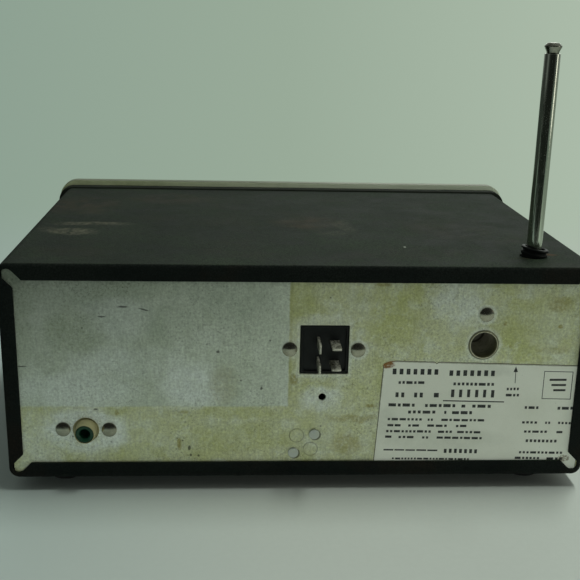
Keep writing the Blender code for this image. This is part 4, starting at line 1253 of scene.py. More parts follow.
def label_outline():
    """Sheet edge with a torn corner, a notch and the wander of a hand-cut edge."""
    points = [(-118.0, 8.5), (-30.75, 8.5)]
    for k in range(1, 24):
        t = k / 24
        points.append((-30.75 - 2.35 * t + 0.05 * math.sin(9 * t + 0.6), 8.5 + 45.6 * t))
    points += [
        (-33.1, 54.1), (-33.0, 54.9), (-33.9, 55.15), (-34.6, 55.75), (-35.7, 56.1),
        (-36.6, 56.55), (-37.8, 56.86),
    ]
    for k in range(1, 12):
        run = 16.3 * k / 12
        points.append((-37.8 - run, 56.86 + LABEL_SLOPE * run + 0.04 * math.sin(k * 1.7)))
    points += [(-54.1, 56.47), (-54.6, 56.1), (-55.0, 55.6), (-55.5, 56.0), (-56.0, 56.42)]
    for k in range(1, 30):
        run = 62.0 * k / 30
        points.append((-56.0 - run, 56.42 + LABEL_SLOPE * run + 0.05 * math.sin(k * 1.1)))
    points.append((-118.0, 54.9))
    return points


def label():
    outline = label_outline()
    plate("rating_label_sheet", outline, [], (PANEL_OUT + 0.05, LABEL_Y), (0.0, 0.05),
          "label_paper", node="rating_label", **THIN)
    wider = inset(turned(outline, True), -0.22)
    plate("rating_label_adhesive", wider, [], (PANEL_OUT + 0.02, PANEL_OUT + 0.09),
          (0.0, 0.03), "label_edge", slot="label_paper", **THIN)
    torn = [
        (-32.75, 54.75), (-34.1, 54.3), (-35.6, 55.25), (-37.6, 56.35), (-37.4, 56.95),
        (-36.0, 56.9), (-34.2, 56.35), (-33.1, 55.75),
    ]
    plate("rating_label_torn_corner", torn, [], (PANEL_OUT + 0.08, PANEL_OUT + 0.17),
          (0.0, 0.04), "torn_layer", slot="label_paper", **THIN)


# Rows of print, as plain marks: kind, start x, z, end x, z, height; z above the case bottom
PRINT = (
    ("b", -36.9, 46.5, -57.2, 46.3, 3.0), ("b", -60.6, 45.9, -81.0, 45.7, 3.0),
    ("s", -39.6, 41.7, -51.0, 41.6, 1.6), ("s", -62.6, 41.1, -80.4, 40.8, 1.7),
    ("b", -38.6, 36.3, -43.4, 36.2, 2.6), ("b", -46.4, 36.2, -51.1, 36.1, 2.6),
    ("b", -54.7, 36.1, -58.4, 36.1, 2.5), ("tall", -61.9, 36.9, -82.2, 36.7, 4.4),
    ("line", -58.7, 33.6, -84.6, 33.0, 0.5), ("s", -35.9, 31.8, -47.7, 31.6, 1.8),
    ("s", -51.3, 31.5, -64.8, 31.3, 1.8), ("s", -66.7, 31.2, -69.5, 31.2, 1.8),
    ("s", -71.3, 31.2, -80.0, 31.0, 1.8), ("s", -44.3, 28.6, -56.6, 28.5, 1.8),
    ("s", -59.6, 28.4, -61.1, 28.3, 1.8), ("s", -62.9, 28.3, -72.1, 28.2, 1.8),
    ("x", -35.9, 25.4, -50.9, 25.2, 1.5), ("x", -52.8, 25.1, -55.5, 25.1, 1.5),
    ("x", -58.6, 25.0, -77.5, 24.7, 1.5), ("x", -35.9, 22.7, -42.1, 22.6, 1.5),
    ("x", -44.7, 22.5, -49.9, 22.5, 1.5), ("x", -52.8, 22.4, -61.8, 22.3, 1.5),
    ("x", -65.0, 22.2, -70.1, 22.2, 1.5), ("x", -35.5, 20.0, -55.1, 19.7, 1.5),
    ("x", -57.5, 19.6, -64.1, 19.6, 1.5), ("x", -65.7, 19.5, -76.4, 19.3, 1.5),
    ("x", -35.2, 17.5, -38.5, 17.4, 1.5), ("x", -40.9, 17.3, -48.0, 17.2, 1.5),
    ("x", -50.9, 17.1, -54.2, 17.0, 1.5), ("x", -57.1, 17.0, -77.1, 16.6, 1.5),
    ("wide", -34.8, 11.5, -58.2, 11.1, 2.3), ("b", -60.6, 10.9, -75.9, 10.6, 2.3),
    ("x", -38.6, 7.5, -72.2, 7.0, 1.2), ("s", -85.3, 38.8, -91.0, 38.8, 1.5),
    ("s", -85.1, 36.1, -91.3, 36.0, 1.5), ("s", -93.7, 30.5, -100.2, 30.4, 1.6),
    ("s", -107.8, 30.2, -117.0, 30.1, 1.7), ("x", -93.2, 23.8, -100.3, 23.7, 1.5),
    ("x", -103.1, 23.6, -105.8, 23.5, 1.5), ("x", -108.7, 23.5, -114.8, 23.3, 1.5),
    ("x", -94.4, 19.6, -105.0, 19.5, 1.5), ("x", -108.4, 19.3, -111.6, 19.3, 1.5),
    ("s", -95.5, 15.4, -109.6, 15.1, 1.7), ("x", -93.1, 10.1, -112.5, 9.7, 1.5),
    ("x", -91.5, 7.5, -102.7, 7.3, 1.5), ("x", -105.3, 7.1, -112.8, 7.0, 1.5),
)
# Each kind of mark: height and pitch as parts of the row height, filled part of the pitch
MARKS = {
    "b": (0.84, 1.02, 0.56), "s": (0.76, 1.08, 0.62), "x": (0.70, 1.12, 0.62),
    "tall": (0.78, 0.82, 0.40), "wide": (0.30, 2.2, 0.94),
}
PRINT_DEPTH = (LABEL_Y - 0.005, LABEL_Y + 0.022)


def print_row(shape, kind, x_start, z_start, x_end, z_end, row_height):
    """Short solid bars along one row, or one thin line."""
    z_start, z_end = z_start + BOTTOM_Z, z_end + BOTTOM_Z
    if kind == "line":
        half = row_height / 2
        corners = [(x_start, z_start - half), (x_end, z_end - half),
                   (x_end, z_end + half), (x_start, z_start + half)]
        block(shape, corners, *PRINT_DEPTH)
        return
    length = x_start - x_end
    slope = (z_start - z_end) / length
    tall, step, fill = MARKS[kind]
    count = max(1, round(length / (step * row_height)))
    pitch = length / count
    i = 0
    while i < count:
        run = 1 if kind in ("b", "tall") else min(count - i, rng.choice((1, 1, 2)))
        x = x_start - i * pitch
        z = z_start - row_height * tall / 2 - slope * i * pitch + rng.uniform(-0.03, 0.03)
        width = (run - 1 + fill * rng.uniform(0.92, 1.0)) * pitch
        height = row_height * tall * rng.uniform(0.94, 1.0)
        drop = slope * width
        corners = [(x, z), (x - width, z - drop), (x - width, z + height - drop), (x, z + height)]
        block(shape, corners, *PRINT_DEPTH)
        i += run


def print_marks():
    shape = bmesh.new()
    for row in PRINT:
        print_row(shape, *row)
    # arrow up to the aerial socket
    shaft = [(-88.42, 47.4), (-88.72, 47.4), (-88.58, 53.0), (-88.28, 53.0)]
    block(shape, shaft, *PRINT_DEPTH)
    block(shape, [(-87.45, 52.3), (-89.35, 52.25), (-88.34, 54.75)], *PRINT_DEPTH)
    # square outline, leaning with the rows, round three short lines
    x, z, half, thick = -106.7, 46.4, 6.2, 0.30
    near = half - thick
    for left, low, right, high in ((-half, -half, half, -near), (-half, near, half, half),
                                   (-half, -half, -near, half), (near, -half, half, half)):
        corners = ((left, low), (right, low), (right, high), (left, high))
        leaning = [(x + across, z + up + 0.02 * across) for across, up in corners]
        block(shape, leaning, *PRINT_DEPTH)
    for k in range(3):
        low = z + 2.0 - 2.3 * k
        bar(shape, x - 3.6, low, x + 3.6 - k, low + 0.9, *PRINT_DEPTH)
    make("rating_label_print", shape, "ink", slot="label_paper", sharp=20)


label()
print_marks()

# ============================================================== power connector
# Blades: x, z, width, height
BLADES = (
    (-5.9, 64.9, 0.95, 3.9), (-12.6, 64.9, 3.9, 0.9),
    (-5.9, 56.3, 0.95, 3.9), (-12.6, 56.3, 3.9, 0.9),
)
BLADE_TIP = 107.2


def power_socket():
    """Rim, floor with blade slots, and the flange behind the panel."""
    x, z, width, height = SOCKET
    pocket = rounded(x, z, width - 2.4, height - 2.4, 1.3, 5)
    rim = rounded(x, z, width - 0.7, height - 0.7, 0.6, 3)
    depth = (PANEL_OUT - 3.4, PANEL_OUT - 0.5)
    shape = plate_mesh(rim, [pocket], depth, edges=(0.0, 0.28), steps=3)
    slots = [rounded(*centre, wide + 0.9, tall + 0.9, 0.3, 2) for *centre, wide, tall in BLADES]
    base = rounded(x, z, width - 0.9, height - 0.9, 0.6, 3)
    depth = (PANEL_OUT - 16, PANEL_OUT - 3.2)
    plate_mesh(base, slots, depth, edges=(0.0, 0.12), steps=2, into=shape)
    flange = rounded(x, z, 36.5, 27.0, 5, 5)
    depth = (PANEL_IN - 1.95, PANEL_IN - 0.35)
    plate_mesh(flange, [], depth, edges=(0.2, 0.2), steps=2, into=shape)
    made = mesh_object("power_socket_moulding", shape, "socket_phenolic", sharp=40)
    place(made, node="power_socket_body")
    weighted(made)


def power_blades():
    # inset, y
    rows = [
        (0, PANEL_OUT - 12.5), (0, BLADE_TIP - 1.1), (0.05, BLADE_TIP - 0.7),
        (0.16, BLADE_TIP - 0.25), (0.27, BLADE_TIP),
    ]
    for i, (x, z, width, height) in enumerate(BLADES):
        # the longer side narrows faster towards the tip
        slim_width, slim_height = (2.2, 1) if width > height else (1, 2.2)

        def outline(edge):
            return rounded(
                x, z, width - 2 * edge * slim_width, height - 2 * edge * slim_height, 0.12, 3
            )

        loft(f"power_blade_{i + 1}_pin", outline, rows, "blade_brass",
             node=f"power_blade_{i + 1}", sharp=50)


power_socket()
power_blades()


# ======================================================================== jacks
def phono_jack():
    centre = (PHONO[0], PANEL_OUT, PHONO[1])
    profile = (
        (3.75, -9.0), (4.2, -9.0), (4.2, -1.9), (4.62, -1.9), (4.6, -0.35), (4.45, 0.0),
        (4.28, 0.3), (4.12, 4.6), (4.0, 5.0), (3.86, 5.15), (3.76, 4.9), (3.72, -9.0),
    )
    shape = lathe_mesh(soften(profile, 0.1, True), 56, centre, closed=True)
    barrel = mesh_object("phono_jack_barrel", shape, "tinned_shell")
    outer = rounded(*PHONO, 28.0, 11.5, 5.7, 8)
    depth = (PANEL_IN - 1.55, PANEL_IN - 0.35)
    flange = plate_mesh(outer, [disc(*PHONO, 4.1, 40)], depth, edges=(0.1, 0.1), steps=2)
    make("phono_jack_flange", flange, "tinned_shell", slot="tinned_shell")
    place(barrel, node="phono_jack_shell")
    profile = (
        (0, -7.2), (3.62, -7.2), (3.66, 4.75), (3.3, 4.95), (2.5, 4.75), (2.1, 4.4),
        (1.98, 3.9), (1.98, -5.0), (0, -5.0),
    )
    lathe("phono_jack_green", profile, 56, centre, "green_insulator", corner=0.16,
          node="phono_jack_insulator")


def antenna_jack():
    centre = (JACK[0], PANEL_OUT, JACK[1])
    rim = (
        (5.62, -24.0), (5.62, 0.06), (5.80, 0.08), (5.90, 0.02), (6.08, 0.02), (6.12, 0.16),
        (6.06, 0.34), (5.92, 0.44), (5.76, 0.50), (5.60, 0.52), (5.46, 0.44), (5.40, 0.2),
        (5.38, -0.4), (5.36, -21.6), (5.2, -22.0), (1.5, -22.0), (1.5, -24.0),
    )
    lathe("antenna_jack_rim", rim, 72, centre, "jack_bore", closed=True, corner=0.06,
          node="antenna_jack_shell")
    lip = (
        (5.44, 0.30), (5.48, 0.52), (5.57, 0.66), (5.69, 0.66), (5.78, 0.54), (5.80, 0.36),
        (5.77, 0.12), (5.48, 0.12),
    )
    lathe("antenna_jack_lip", lip, 72, (JACK[0], PANEL_OUT + 0.05, JACK[1]), "jack_nickel",
          closed=True, corner=0.05, slot="plated_steel")
    core = ((0.9, -23.0), (1.4, -23.0), (1.4, -20.2), (1.9, -20.0), (2.0, -18.5), (0.9, -18.5))
    lathe("antenna_jack_centre", core, 40, centre, "socket_phenolic", closed=True, corner=0.2,
          node="antenna_jack_core")


phono_jack()
antenna_jack()

# ====================================================================== antenna
ANTENNA = (ANTENNA_X, ANTENNA_Y, 0)


def antenna_tubes():
    """A fixed tube with a closed foot and two sliding tubes, open at both ends."""
    name = "antenna_tube_1"
    low, high = box_mm(name)
    outer, inner = 3.2, 2.85
    profile = [
        (0, low.z), (outer, low.z), (outer, high.z + 0.75), (outer - 0.06, high.z + 0.9),
        (outer - 0.2, high.z + 0.98), (inner, high.z + 0.98), (inner, low.z + 3.0),
        (0, low.z + 3.0),
    ]
    lathe(f"{name}_polished", profile, 64, ANTENNA, "chrome", axis="Z", corner=0.06, node=name)
    for name, outer, inner in (("antenna_tube_2", 2.6, 2.25), ("antenna_tube_3", 2.0, 1.65)):
        low, high = box_mm(name)
        profile = [
            (inner, low.z), (outer, low.z), (outer, low.z + 5), (outer - 0.04, high.z - 3.2),
            (outer - 0.04, high.z - 2.9), (outer, high.z - 2.7), (outer, high.z - 0.25),
            (outer - 0.12, high.z), (inner, high.z),
        ]
        lathe(f"{name}_polished", profile, 56, ANTENNA, "chrome", axis="Z", closed=True,
              corner=0.05, body=name, node=name)


def antenna_rod():
    low, high = box_mm("antenna_rod")
    profile = [(0, low.z), (1.4, low.z), (1.4, high.z), (0, high.z)]
    lathe("antenna_rod_polished", profile, 48, ANTENNA, "chrome", axis="Z", corner=0.1,
          body="antenna_rod", node="antenna_rod")
    base = box_mm("antenna_tip")[0].z
    # radius, height above the foot of the tip
    tip = (
        (0, 0.02), (1.75, 0), (2.28, 0), (2.40, 0.3), (2.55, 1.3), (3.42, 3.05), (3.52, 3.3),
        (3.46, 3.55), (2.45, 4.62), (2.25, 4.74), (1.3, 4.78), (1.05, 4.88), (0, 4.95),
    )
    profile = [(radius, base + rise) for radius, rise in tip]
    lathe("antenna_tip_cap", profile, 56, ANTENNA, "tip_chrome", axis="Z", corner=0.1,
          body="antenna_rod", node="antenna_tip")


def antenna_grommet():
    profile = (
        (4.2, -3.0), (5.05, -3.0), (5.05, 0.2), (5.5, 0.5), (5.62, 1.1), (5.35, 1.7),
        (4.95, 1.95), (4.9, 2.25), (5.25, 2.5), (5.82, 2.72), (5.9, 3.15), (5.6, 3.55),
        (4.7, 3.7), (4.2, 3.4),
    )
    lathe("antenna_grommet_rubber", profile, 64, (ANTENNA_X, ANTENNA_Y, TOP_Z + 0.1),
          "rubber_grommet", axis="Z", closed=True,
          tilt=Matrix.Rotation(-math.radians(10.0), 4, "Y"), corner=0.2,
          node="antenna_grommet")


antenna_tubes()
antenna_rod()
antenna_grommet()

# =============================================================== front surround
GAP = 0.8  # clearance of parts in their openings, both sides together
FACE_Z = (trim_low.z + trim_high.z) / 2  # middle of the opening
OPEN_WIDTH = plate_high.x - plate_low.x + GAP
OPEN_HEIGHT = plate_high.z - plate_low.z + GAP

SPEAKER_X = -69.0
WINDOW_X, WINDOW_Z, WINDOW_WIDTH, WINDOW_HEIGHT = 46.0, 76.0, 124.0, 9.0
CHANNEL_X = [-8.0 + 15.4 * i for i in range(8)]
CHANNEL_Z, LOWER_Z = 59.0, 32.0
CAP_SIZE, WIDE_CAP = 9.0, 18.0  # side of a channel button, width of a wide one
WIDE_BUTTONS = (("scan_button", -4.0), ("manual_button", 24.0))
KNOBS = {"volume": 62.0, "squelch": 96.0}  # x of each knob


def box_outline(low, high, radius, steps):
    """Rounded outline that fills an XZ box."""
    width, height = high.x - low.x, high.z - low.z
    return rounded((low.x + high.x) / 2, (low.z + high.z) / 2, width, height, radius, steps)


def surround():
    """Black bezel with the satin trim ring before it, both cut a little short."""
    low, high = box_mm("front_bezel")
    high.z -= 1.4
    high.x -= 1.4
    low.x += 0.2
    trim_high.z -= 1.2
    trim_high.x -= 1.8
    trim_low.x += 0.6
    opening = rounded(0, FACE_Z, OPEN_WIDTH - 9.6, OPEN_HEIGHT - 9.5, 3, 6)
    plate("front_bezel_moulding", box_outline(low, high, 8.0, 14), [opening],
          (trim_high.y + 0.3, FRONT_Y - 0.3), (0.35, 0.8), "bezel_plastic", steps=4,
          hole_edge=0.2, node="front_bezel")
    opening = rounded(0, FACE_Z, OPEN_WIDTH, OPEN_HEIGHT, 4.0, 8)
    plate("trim_ring_frame", box_outline(trim_low, trim_high, 9.5, 16), [opening],
          (trim_low.y, trim_high.y), (1.0, 0.45), "satin_trim", steps=5, node="trim_ring")


def faceplate():
    cap_hole, wide_hole = CAP_SIZE + GAP, WIDE_CAP + GAP
    holes = [
        rounded(SPEAKER_X, FACE_Z, 83.0, 69.0, 3.0, 6),
        rounded(WINDOW_X, WINDOW_Z, WINDOW_WIDTH + GAP, WINDOW_HEIGHT + GAP, 1.5, 4),
    ]
    holes += [rounded(x, CHANNEL_Z, cap_hole, cap_hole, 0.9, 4) for x in CHANNEL_X]
    holes += [rounded(x, LOWER_Z, wide_hole, cap_hole, 0.9, 4) for _, x in WIDE_BUTTONS]
    holes += [disc(x, LOWER_Z, 4.9, 40) for x in KNOBS.values()]
    outer = rounded(0, FACE_Z, OPEN_WIDTH - GAP, OPEN_HEIGHT - GAP, 3.6, 6)
    plate("faceplate_brushed", outer, holes, (PLATE_FRONT, PLATE_BACK), (0.18, 0.0),
          "aluminium", node="faceplate", **THIN)


def knob_scale(shape, x, depth):
    """Eleven ticks round a knob, longer at the ends and in the middle."""
    centre = Vector((x, LOWER_Z))
    for k in range(11):
        angle = math.radians(-150 + 30 * k)
        out = Vector((math.sin(angle), math.cos(angle)))
        across = Vector((math.cos(angle), -math.sin(angle)))
        far, half = (15.4, 0.28) if k % 5 == 0 else (14.5, 0.2)
        near = centre + out * 12.9
        far = centre + out * far
        corners = [near - across * half, near + across * half,
                   far + across * half, far - across * half]
        block(shape, [tuple(corner) for corner in corners], *depth)


def faceplate_printing():
    """Frame and dividing line round the controls, knob scales and channel ticks."""
    shape = bmesh.new()
    depth = (PLATE_FRONT - 0.035, PLATE_FRONT + 0.01)
    x_low, x_high, z_low, z_high = -21.5, 113.8, FACE_Z - 37.6, FACE_Z + 37.6
    line = 0.35
    bar(shape, x_low, z_low, x_high, z_low + line, *depth)
    bar(shape, x_low, z_high - line, x_high, z_high, *depth)
    bar(shape, x_low, z_low + line, x_low + line, z_high - line, *depth)
    bar(shape, x_high - line, z_low + line, x_high, z_high - line, *depth)
    bar(shape, -21.2, 45.2, 113.5, 45.5, *depth)
    for x in KNOBS.values():
        knob_scale(shape, x, depth)
    for x in CHANNEL_X:
        bar(shape, x - 0.25, 70.1, x + 0.25, 70.9, *depth)
    make("faceplate_printing", shape, "ink", slot="aluminium", sharp=20)


def channel_number(i, x):
    """The number above a channel button, as flat text."""
    name = f"channel_number_{i + 1}"
    curve = bpy.data.curves.new(name, "FONT")
    curve.body, curve.size = str(i + 1), 4.2
    curve.align_x, curve.align_y = "CENTER", "CENTER"
    curve.extrude, curve.resolution_u = 0.02, 6
    text = link_object(name + "_curve", curve)
    bpy.context.view_layer.update()
    evaluated = text.evaluated_get(bpy.context.evaluated_depsgraph_get())
    mesh = bpy.data.meshes.new_from_object(evaluated)
    bpy.data.objects.remove(text, do_unlink=True)
    move = Matrix.Translation((x * MM, (PLATE_FRONT - 0.015) * MM, 67.2 * MM))
    mesh.transform(move @ Matrix.Rotation(math.pi / 2, 4, "X") @ Matrix.Scale(MM, 4))
    mesh.materials.clear()
    mesh.materials.append(FINISHES["ink"])
    place(link_object(name, mesh), slot="aluminium")


surround()
faceplate()
faceplate_printing()
for index, number_x in enumerate(CHANNEL_X):
    channel_number(index, number_x)


# ============================================================== speaker, window
def speaker():
    """Slotted grille with a sheet of gently uneven cloth behind it."""
    slots = [rounded(SPEAKER_X, FACE_Z + (i - 4.5) * 6.3, 74.0, 3.4, 1.65, 6) for i in range(10)]
    outer = rounded(SPEAKER_X, FACE_Z, 82.2, 68.2, 2.6, 6)
    plate("speaker_grille_bars", outer, slots, (PLATE_FRONT - 0.7, PLATE_BACK + 1.6),
          (0.75, 0.0), "black_plastic", steps=4, node="speaker_grille")
    shape = bmesh.new()
    columns, rows = 60, 52
    width, height = 82, 68
    grid = []
    for i in range(columns + 1):
        x = SPEAKER_X - width / 2 + width * i / columns
        grid.append([
            shape.verts.new((
                x,
                PLATE_BACK + 1.78 + 0.10 * math.sin(i * 0.9) * math.sin(j * 0.8),
                FACE_Z - height / 2 + height * j / rows,
            ))
            for j in range(rows + 1)
        ])
    for i in range(columns):
        for j in range(rows):
            shape.faces.new((grid[i][j], grid[i + 1][j], grid[i + 1][j + 1], grid[i][j + 1]))
    sheet = mesh_object("speaker_cloth_sheet", shape, "speaker_cloth")
    thick = sheet.modifiers.new("thick", "SOLIDIFY")
    thick.thickness, thick.offset = 0.16 * MM, 0.0
    place(sheet, slot="black_plastic")


def lamp_window():
    """Dark mask with a domed red lens over each channel."""
    holes = [rounded(x, WINDOW_Z, 11.4, 6.2, 1.6, 6) for x in CHANNEL_X]
    outer = rounded(WINDOW_X, WINDOW_Z, WINDOW_WIDTH, WINDOW_HEIGHT, 1.2, 5)
    plate("lamp_window_mask", outer, holes, (PLATE_FRONT - 0.5, PLATE_BACK + 1.2),
          (0.35, 0.0), "window_mask", steps=3, node="lamp_window")
    rows = [(0.0, PLATE_FRONT + 1.2), (0.0, PLATE_FRONT - 0.30)]
    for k in range(1, 9):
        angle = math.pi / 2 * k / 8
        rows.append((2.9 * (1 - math.cos(angle)), PLATE_FRONT - 0.30 - 0.55 * math.sin(angle)))
    for i, x in enumerate(CHANNEL_X):
        def outline(edge):
            radius = max(0.06, 1.5 - edge * 0.5)
            return rounded(x, WINDOW_Z, 11.2 - 2 * edge, 6.0 - 2 * edge, radius, 6)

        loft(f"lamp_lens_{i + 1}", outline, rows, "red_window", slot="red_window")


speaker()
lamp_window()

# ============================================================== buttons, knobs
# Button section from the hidden skirt to the dished front: inset, y
BUTTON_ROWS = [
    (-1.2, -88.3), (-1.2, -89.25), (-0.02, -89.3), (0.0, -89.6), (0.0, -96.55),
    (0.05, -96.95), (0.18, -97.35), (0.42, -97.68), (0.78, -97.9), (1.2, -98.0),
    (1.6, -97.98), (2.1, -97.88), (2.7, -97.76), (3.4, -97.68), (4.2, -97.64),
]
KNOB_FRONT = -107.2
FLUTES = 24


def button(name, x, z, width):
    def outline(edge):
        radius = max(0.05, 0.85 - edge * 0.2)
        return rounded(x, z, width - 2 * edge, CAP_SIZE - 2 * edge, radius, 6)

    loft(f"{name}_cap", outline, BUTTON_ROWS, "button_ivory", body=name, node=name, sharp=50)


def flutes(angle, radius):
    if not 8.9 < radius < 10.2:
        return 1.0
    return 1.0 - 0.055 * (0.5 + 0.5 * math.cos(FLUTES * angle)) ** 3


def knob(name, x):
    body = f"{name}_knob"
    # radius, distance behind the knob's front
    grip = (
        (0, 0.35), (7.3, 0.35), (7.42, 0.3), (7.5, 0.1), (7.7, 0), (8.0, 0.02), (8.45, 0.25),
        (8.85, 0.65), (9.0, 1.1), (9.12, 1.6), (9.25, 2.6), (9.5, 5.6), (9.8, 9.6),
        (9.9, 10.8), (10.0, 11.2), (10.25, 11.55), (11.2, 12.1), (11.75, 12.45), (12.0, 12.9),
    )
    profile = [(radius, KNOB_FRONT + back) for radius, back in grip] + [
        (12.0, PLATE_FRONT - 0.95), (11.8, PLATE_FRONT - 0.7), (6.4, PLATE_FRONT - 0.7),
        (6.4, PLATE_FRONT - 4.2), (3.3, PLATE_FRONT - 4.2), (3.3, KNOB_FRONT + 2.0),
        (0, KNOB_FRONT + 2.0),
    ]
    centre = (x, 0, LOWER_Z)
    lathe(f"{body}_grip", profile, 192, centre, "black_plastic", ripple=flutes, corner=0.06,
          body=body, node=body, sharp=44)
    FINISHES[f"{name}_inlay"] = spun(f"{name}_inlay_metal", x, LOWER_Z)
    inlay = (
        (0, 0.5), (7.15, 0.5), (7.2, 0.22), (7.05, 0.12), (6.5, 0.12), (6.4, 0.17),
        (6.2, 0.12), (0, 0.10),
    )
    profile = [(radius, KNOB_FRONT + back) for radius, back in inlay]
    lathe(f"{body}_inlay", profile, 96, centre, f"{name}_inlay", corner=0.05, body=body,
          slot="aluminium")
    shape = bmesh.new()
    bar(shape, x - 0.35, LOWER_Z + 3.2, x + 0.35, LOWER_Z + 6.1,
        KNOB_FRONT + 0.05, KNOB_FRONT + 0.3)
    make(f"{body}_pointer", shape, "ink", body=body, slot="black_plastic", sharp=20)
    skirt_line(body, x)


def skirt_line(body, x):
    """White line on the sloping skirt, above the grip."""
    back, front = KNOB_FRONT + 12.9, KNOB_FRONT + 11.35
    shape = bmesh.new()
    low, high = [], []
    for side, y in ((-0.32, back), (0.32, back), (0.32, front), (-0.32, front)):
        drop = 0.95 * (back - y)
        low.append(shape.verts.new((x + side, y, LOWER_Z + 11.78 - drop)))
        high.append(shape.verts.new((x + side, y - 0.05, LOWER_Z + 12.03 - drop)))
    close_prism(shape, low, high)
    make(f"{body}_line", shape, "white_line", body=body, slot="black_plastic", sharp=20)


for index, button_x in enumerate(CHANNEL_X):
    button(f"channel_button_{index + 1}", button_x, CHANNEL_Z, CAP_SIZE)
for button_name, button_x in WIDE_BUTTONS:
    button(button_name, button_x, LOWER_Z, WIDE_CAP)
for knob_name, knob_x in KNOBS.items():
    knob(knob_name, knob_x)


# ========================================================================= feet
def foot(name):
    low, high = box_mm(name)
    middle = (low + high) / 2
    centre = (middle.x, middle.y, 0)
    pad = (
        (0, 1.6), (2.6, 1.6), (2.8, 0.0), (6.4, 0.0), (7.0, 0.5), (7.35, 3.2), (7.6, 5.4),
        (7.5, 5.7), (0, 5.7),
    )
    lathe(f"{name}_pad", pad, 56, centre, "foot_rubber", axis="Z", corner=0.35, node=name)
    screw = (
        (0, 1.75), (0.5, 1.75), (0.55, 1.25), (1.9, 1.2), (2.35, 1.55), (2.4, 2.2), (0, 2.2)
    )
    lathe(f"{name}_screw", screw, 32, centre, "plated_steel", axis="Z", corner=0.08,
          slot="plated_steel")


for index in range(4):
    foot(f"foot_{index + 1}")

# finishes of the CAD nodes themselves
for part in frame["record"]["subparts"]:
    materials = frame["nodes"][part["node"]].data.materials
    materials.clear()
    materials.append(FINISHES[part["material_slot"]])


# ======================================================================== stage
def backdrop_colour(nodes):
    """The pale backdrop, a little darker at the left of the picture."""
    window = nodes.parts(nodes.node("TexCoord").outputs["Window"])
    return nodes.ramp(
        window[0], (0.0, (0.270, 0.358, 0.290)), (0.5, (0.317, 0.404, 0.317)),
        (1.0, (0.402, 0.491, 0.392)),
    )


def floor_material():
    """Paper near the product with painted shade darker and cooler towards +X, backdrop colour far
    off, dark places only reflections see.
    """
    mat = Look("floor_paper")
    fibre = mat.noise(scale=0.35, detail=4, rough=0.6)
    paper = mat.over((0.60, 0.64, 0.605), (0.64, 0.68, 0.645), fibre)
    # painted shade: the paper turns darker and cooler towards +X
    mat.set(
        Base_Color=mat.over(paper, (0.505, 0.592, 0.575), mat.span(mat.x, -20, 170)),
        Roughness=0.9, Specular_IOR_Level=0.15,
    )
    far = mat.span(mat.length(mat.x, mat.y), 215, 640)
    seen = mat.camera_ray()

    def unseen():
        return mat.less(1.0, seen)

    diagonal = mat.add(mat.x, mat.times(mat.y, 0.72))
    rear = mat.times(mat.span(mat.y, 330, 430), unseen(), mat.span(diagonal, -150, -40))
    # a lighter wedge on the +X side, by its slope from a point near the antenna
    run = mat.math("MAXIMUM", mat.add(mat.x, 97.0), 1.0)
    bearing = mat.math("DIVIDE", mat.less(mat.y, 62.0), run)
    wedge = mat.times(mat.span(bearing, 0.12, 0.21), mat.span(bearing, 0.42, 0.30))
    aside = mat.darken(mat.span(mat.x, 170, 330), wedge, 0.42)
    dark_places = mat.most(
        rear, mat.times(unseen(), aside, 0.93),
        mat.times(unseen(), mat.span(mat.x, -330, -640), 0.55),
    )
    dark = mat.node("Emission", {0: (0.011, 0.014, 0.011)}).outputs[0]
    glow = mat.node("Emission", {0: backdrop_colour(mat)}).outputs[0]
    surface = mat.mix_shader(far, mat.shader.outputs[0], glow)
    mat.put(mat.output.inputs[0], mat.mix_shader(dark_places, surface, dark))
    return mat.material


def floor():
    size, cells = 9.0, 30
    shape = bmesh.new()
    bmesh.ops.create_grid(shape, x_segments=cells, y_segments=cells, size=size / 2)
    mesh = bpy.data.meshes.new("floor")
    shape.to_mesh(mesh)
    shape.free()
    made = link_object("floor", mesh)
    mesh.materials.append(floor_material())


# Light level round the horizon: degrees from +Y towards +X, level
HORIZON = (
    (-180, 0.30), (-130, 0.29), (-105, 0.22), (-85, 0.20), (-62, 0.15), (-46, 0.07),
    (-32, 0.028), (-22, 0.012), (34, 0.012), (52, 0.035), (70, 0.150), (90, 0.040),
    (118, 0.03), (142, 0.12), (165, 0.28), (180, 0.30),
)


def world():
    """Dark towards +Y, pale towards -Y; the camera sees the backdrop colour instead."""
    made = bpy.data.worlds.new("studio")
    bpy.context.scene.world = made
    made.use_nodes = True
    nodes = Nodes(made.node_tree)
    output = nodes.node("OutputWorld")
    seen = nodes.node("Background", {0: backdrop_colour(nodes)}).outputs[0]
    x, y, z = nodes.parts(nodes.node("TexCoord").outputs["Generated"])
    angle = nodes.math("ARCTAN2", x, y)
    turn = nodes.math("MULTIPLY_ADD", angle, 1 / (2 * math.pi), 0.5)
    stops = [(degrees / 360 + 0.5, (level,) * 3) for degrees, level in HORIZON]
    sides = nodes.ramp(turn, *stops)
    above = nodes.span(z, 0.45, 0.95, low=0.0, high=0.08)
    level = nodes.math("ADD", sides, above, 0.0)
    tint = nodes.vector("SCALE", (0.90, 1.0, 0.90), scale=level)
    lit = nodes.node("Background", {0: tint}).outputs[0]
    nodes.put(output.inputs[0], nodes.mix_shader(nodes.camera_ray(), lit, seen))


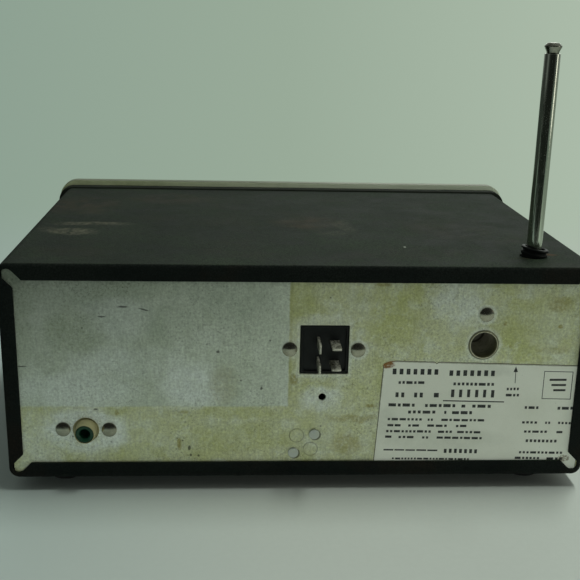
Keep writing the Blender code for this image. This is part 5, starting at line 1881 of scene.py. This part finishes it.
def softbox(name, where, aim, size, watts, colour=(0.93, 1.0, 0.92), glossy=True):
    """Rectangular light of size (width, height), unseen by the camera."""
    light = bpy.data.lights.new(name, "AREA")
    light.shape, light.energy, light.color = "RECTANGLE", watts, colour
    light.size, light.size_y = size
    made = link_object(name, light)
    made.location = where
    made.rotation_mode = "QUATERNION"
    made.rotation_quaternion = (Vector(aim) - Vector(where)).to_track_quat("-Z", "Y")
    made.visible_camera = False
    made.visible_glossy = glossy


def lights():
    softbox("overhead", where=(-0.30, 0.030, 1.20), aim=(0.0, 0.0, 0.0), size=(0.7, 0.10),
            watts=6.8, glossy=False)
    softbox("side_panel", where=(-1.22, 0.49, 0.45), aim=(-0.05, 0.08, 0.10),
            size=(0.30, 0.90), watts=1.05, colour=(1.0, 0.98, 0.84))
    softbox("rear_wash", where=(-0.10, 1.25, 0.115), aim=(0.0, 0.1, 0.05), size=(0.5, 0.10),
            watts=2.25, glossy=False)
    softbox("front_fill", where=(-0.50, -1.3, 0.75), aim=(0.0, -0.05, 0.05), size=(0.9, 0.7),
            watts=3.2)
    softbox("front_wash", where=(0.25, -1.25, 0.30), aim=(0.0, -0.1, 0.05), size=(0.6, 0.3),
            watts=2.0, glossy=False)


def camera():
    """Looks at the rear panel from a little above."""
    data = bpy.data.cameras.new("camera")
    made = link_object("camera", data)
    forward = Vector((-0.07011, -0.94893, -0.30761))
    forward.normalize()
    right = Vector((-0.99754, 0.06575, 0.02441))
    right = (right - forward * right.dot(forward)).normalized()
    turn = Matrix((right, right.cross(forward), -forward)).transposed()
    made.rotation_mode = "QUATERNION"
    made.rotation_quaternion = turn.to_quaternion()
    made.location = (0.03013, 0.48986, 0.19139)
    data.sensor_width, data.lens = 36.0, 63.42
    data.shift_x, data.shift_y = -0.01942, 0.09403
    data.clip_start, data.clip_end = 0.01, 50.0
    bpy.context.scene.camera = made


floor()
world()
lights()
camera()
bpy.context.scene.view_settings.view_transform = "Standard"
bpy.context.scene.view_settings.look = "None"
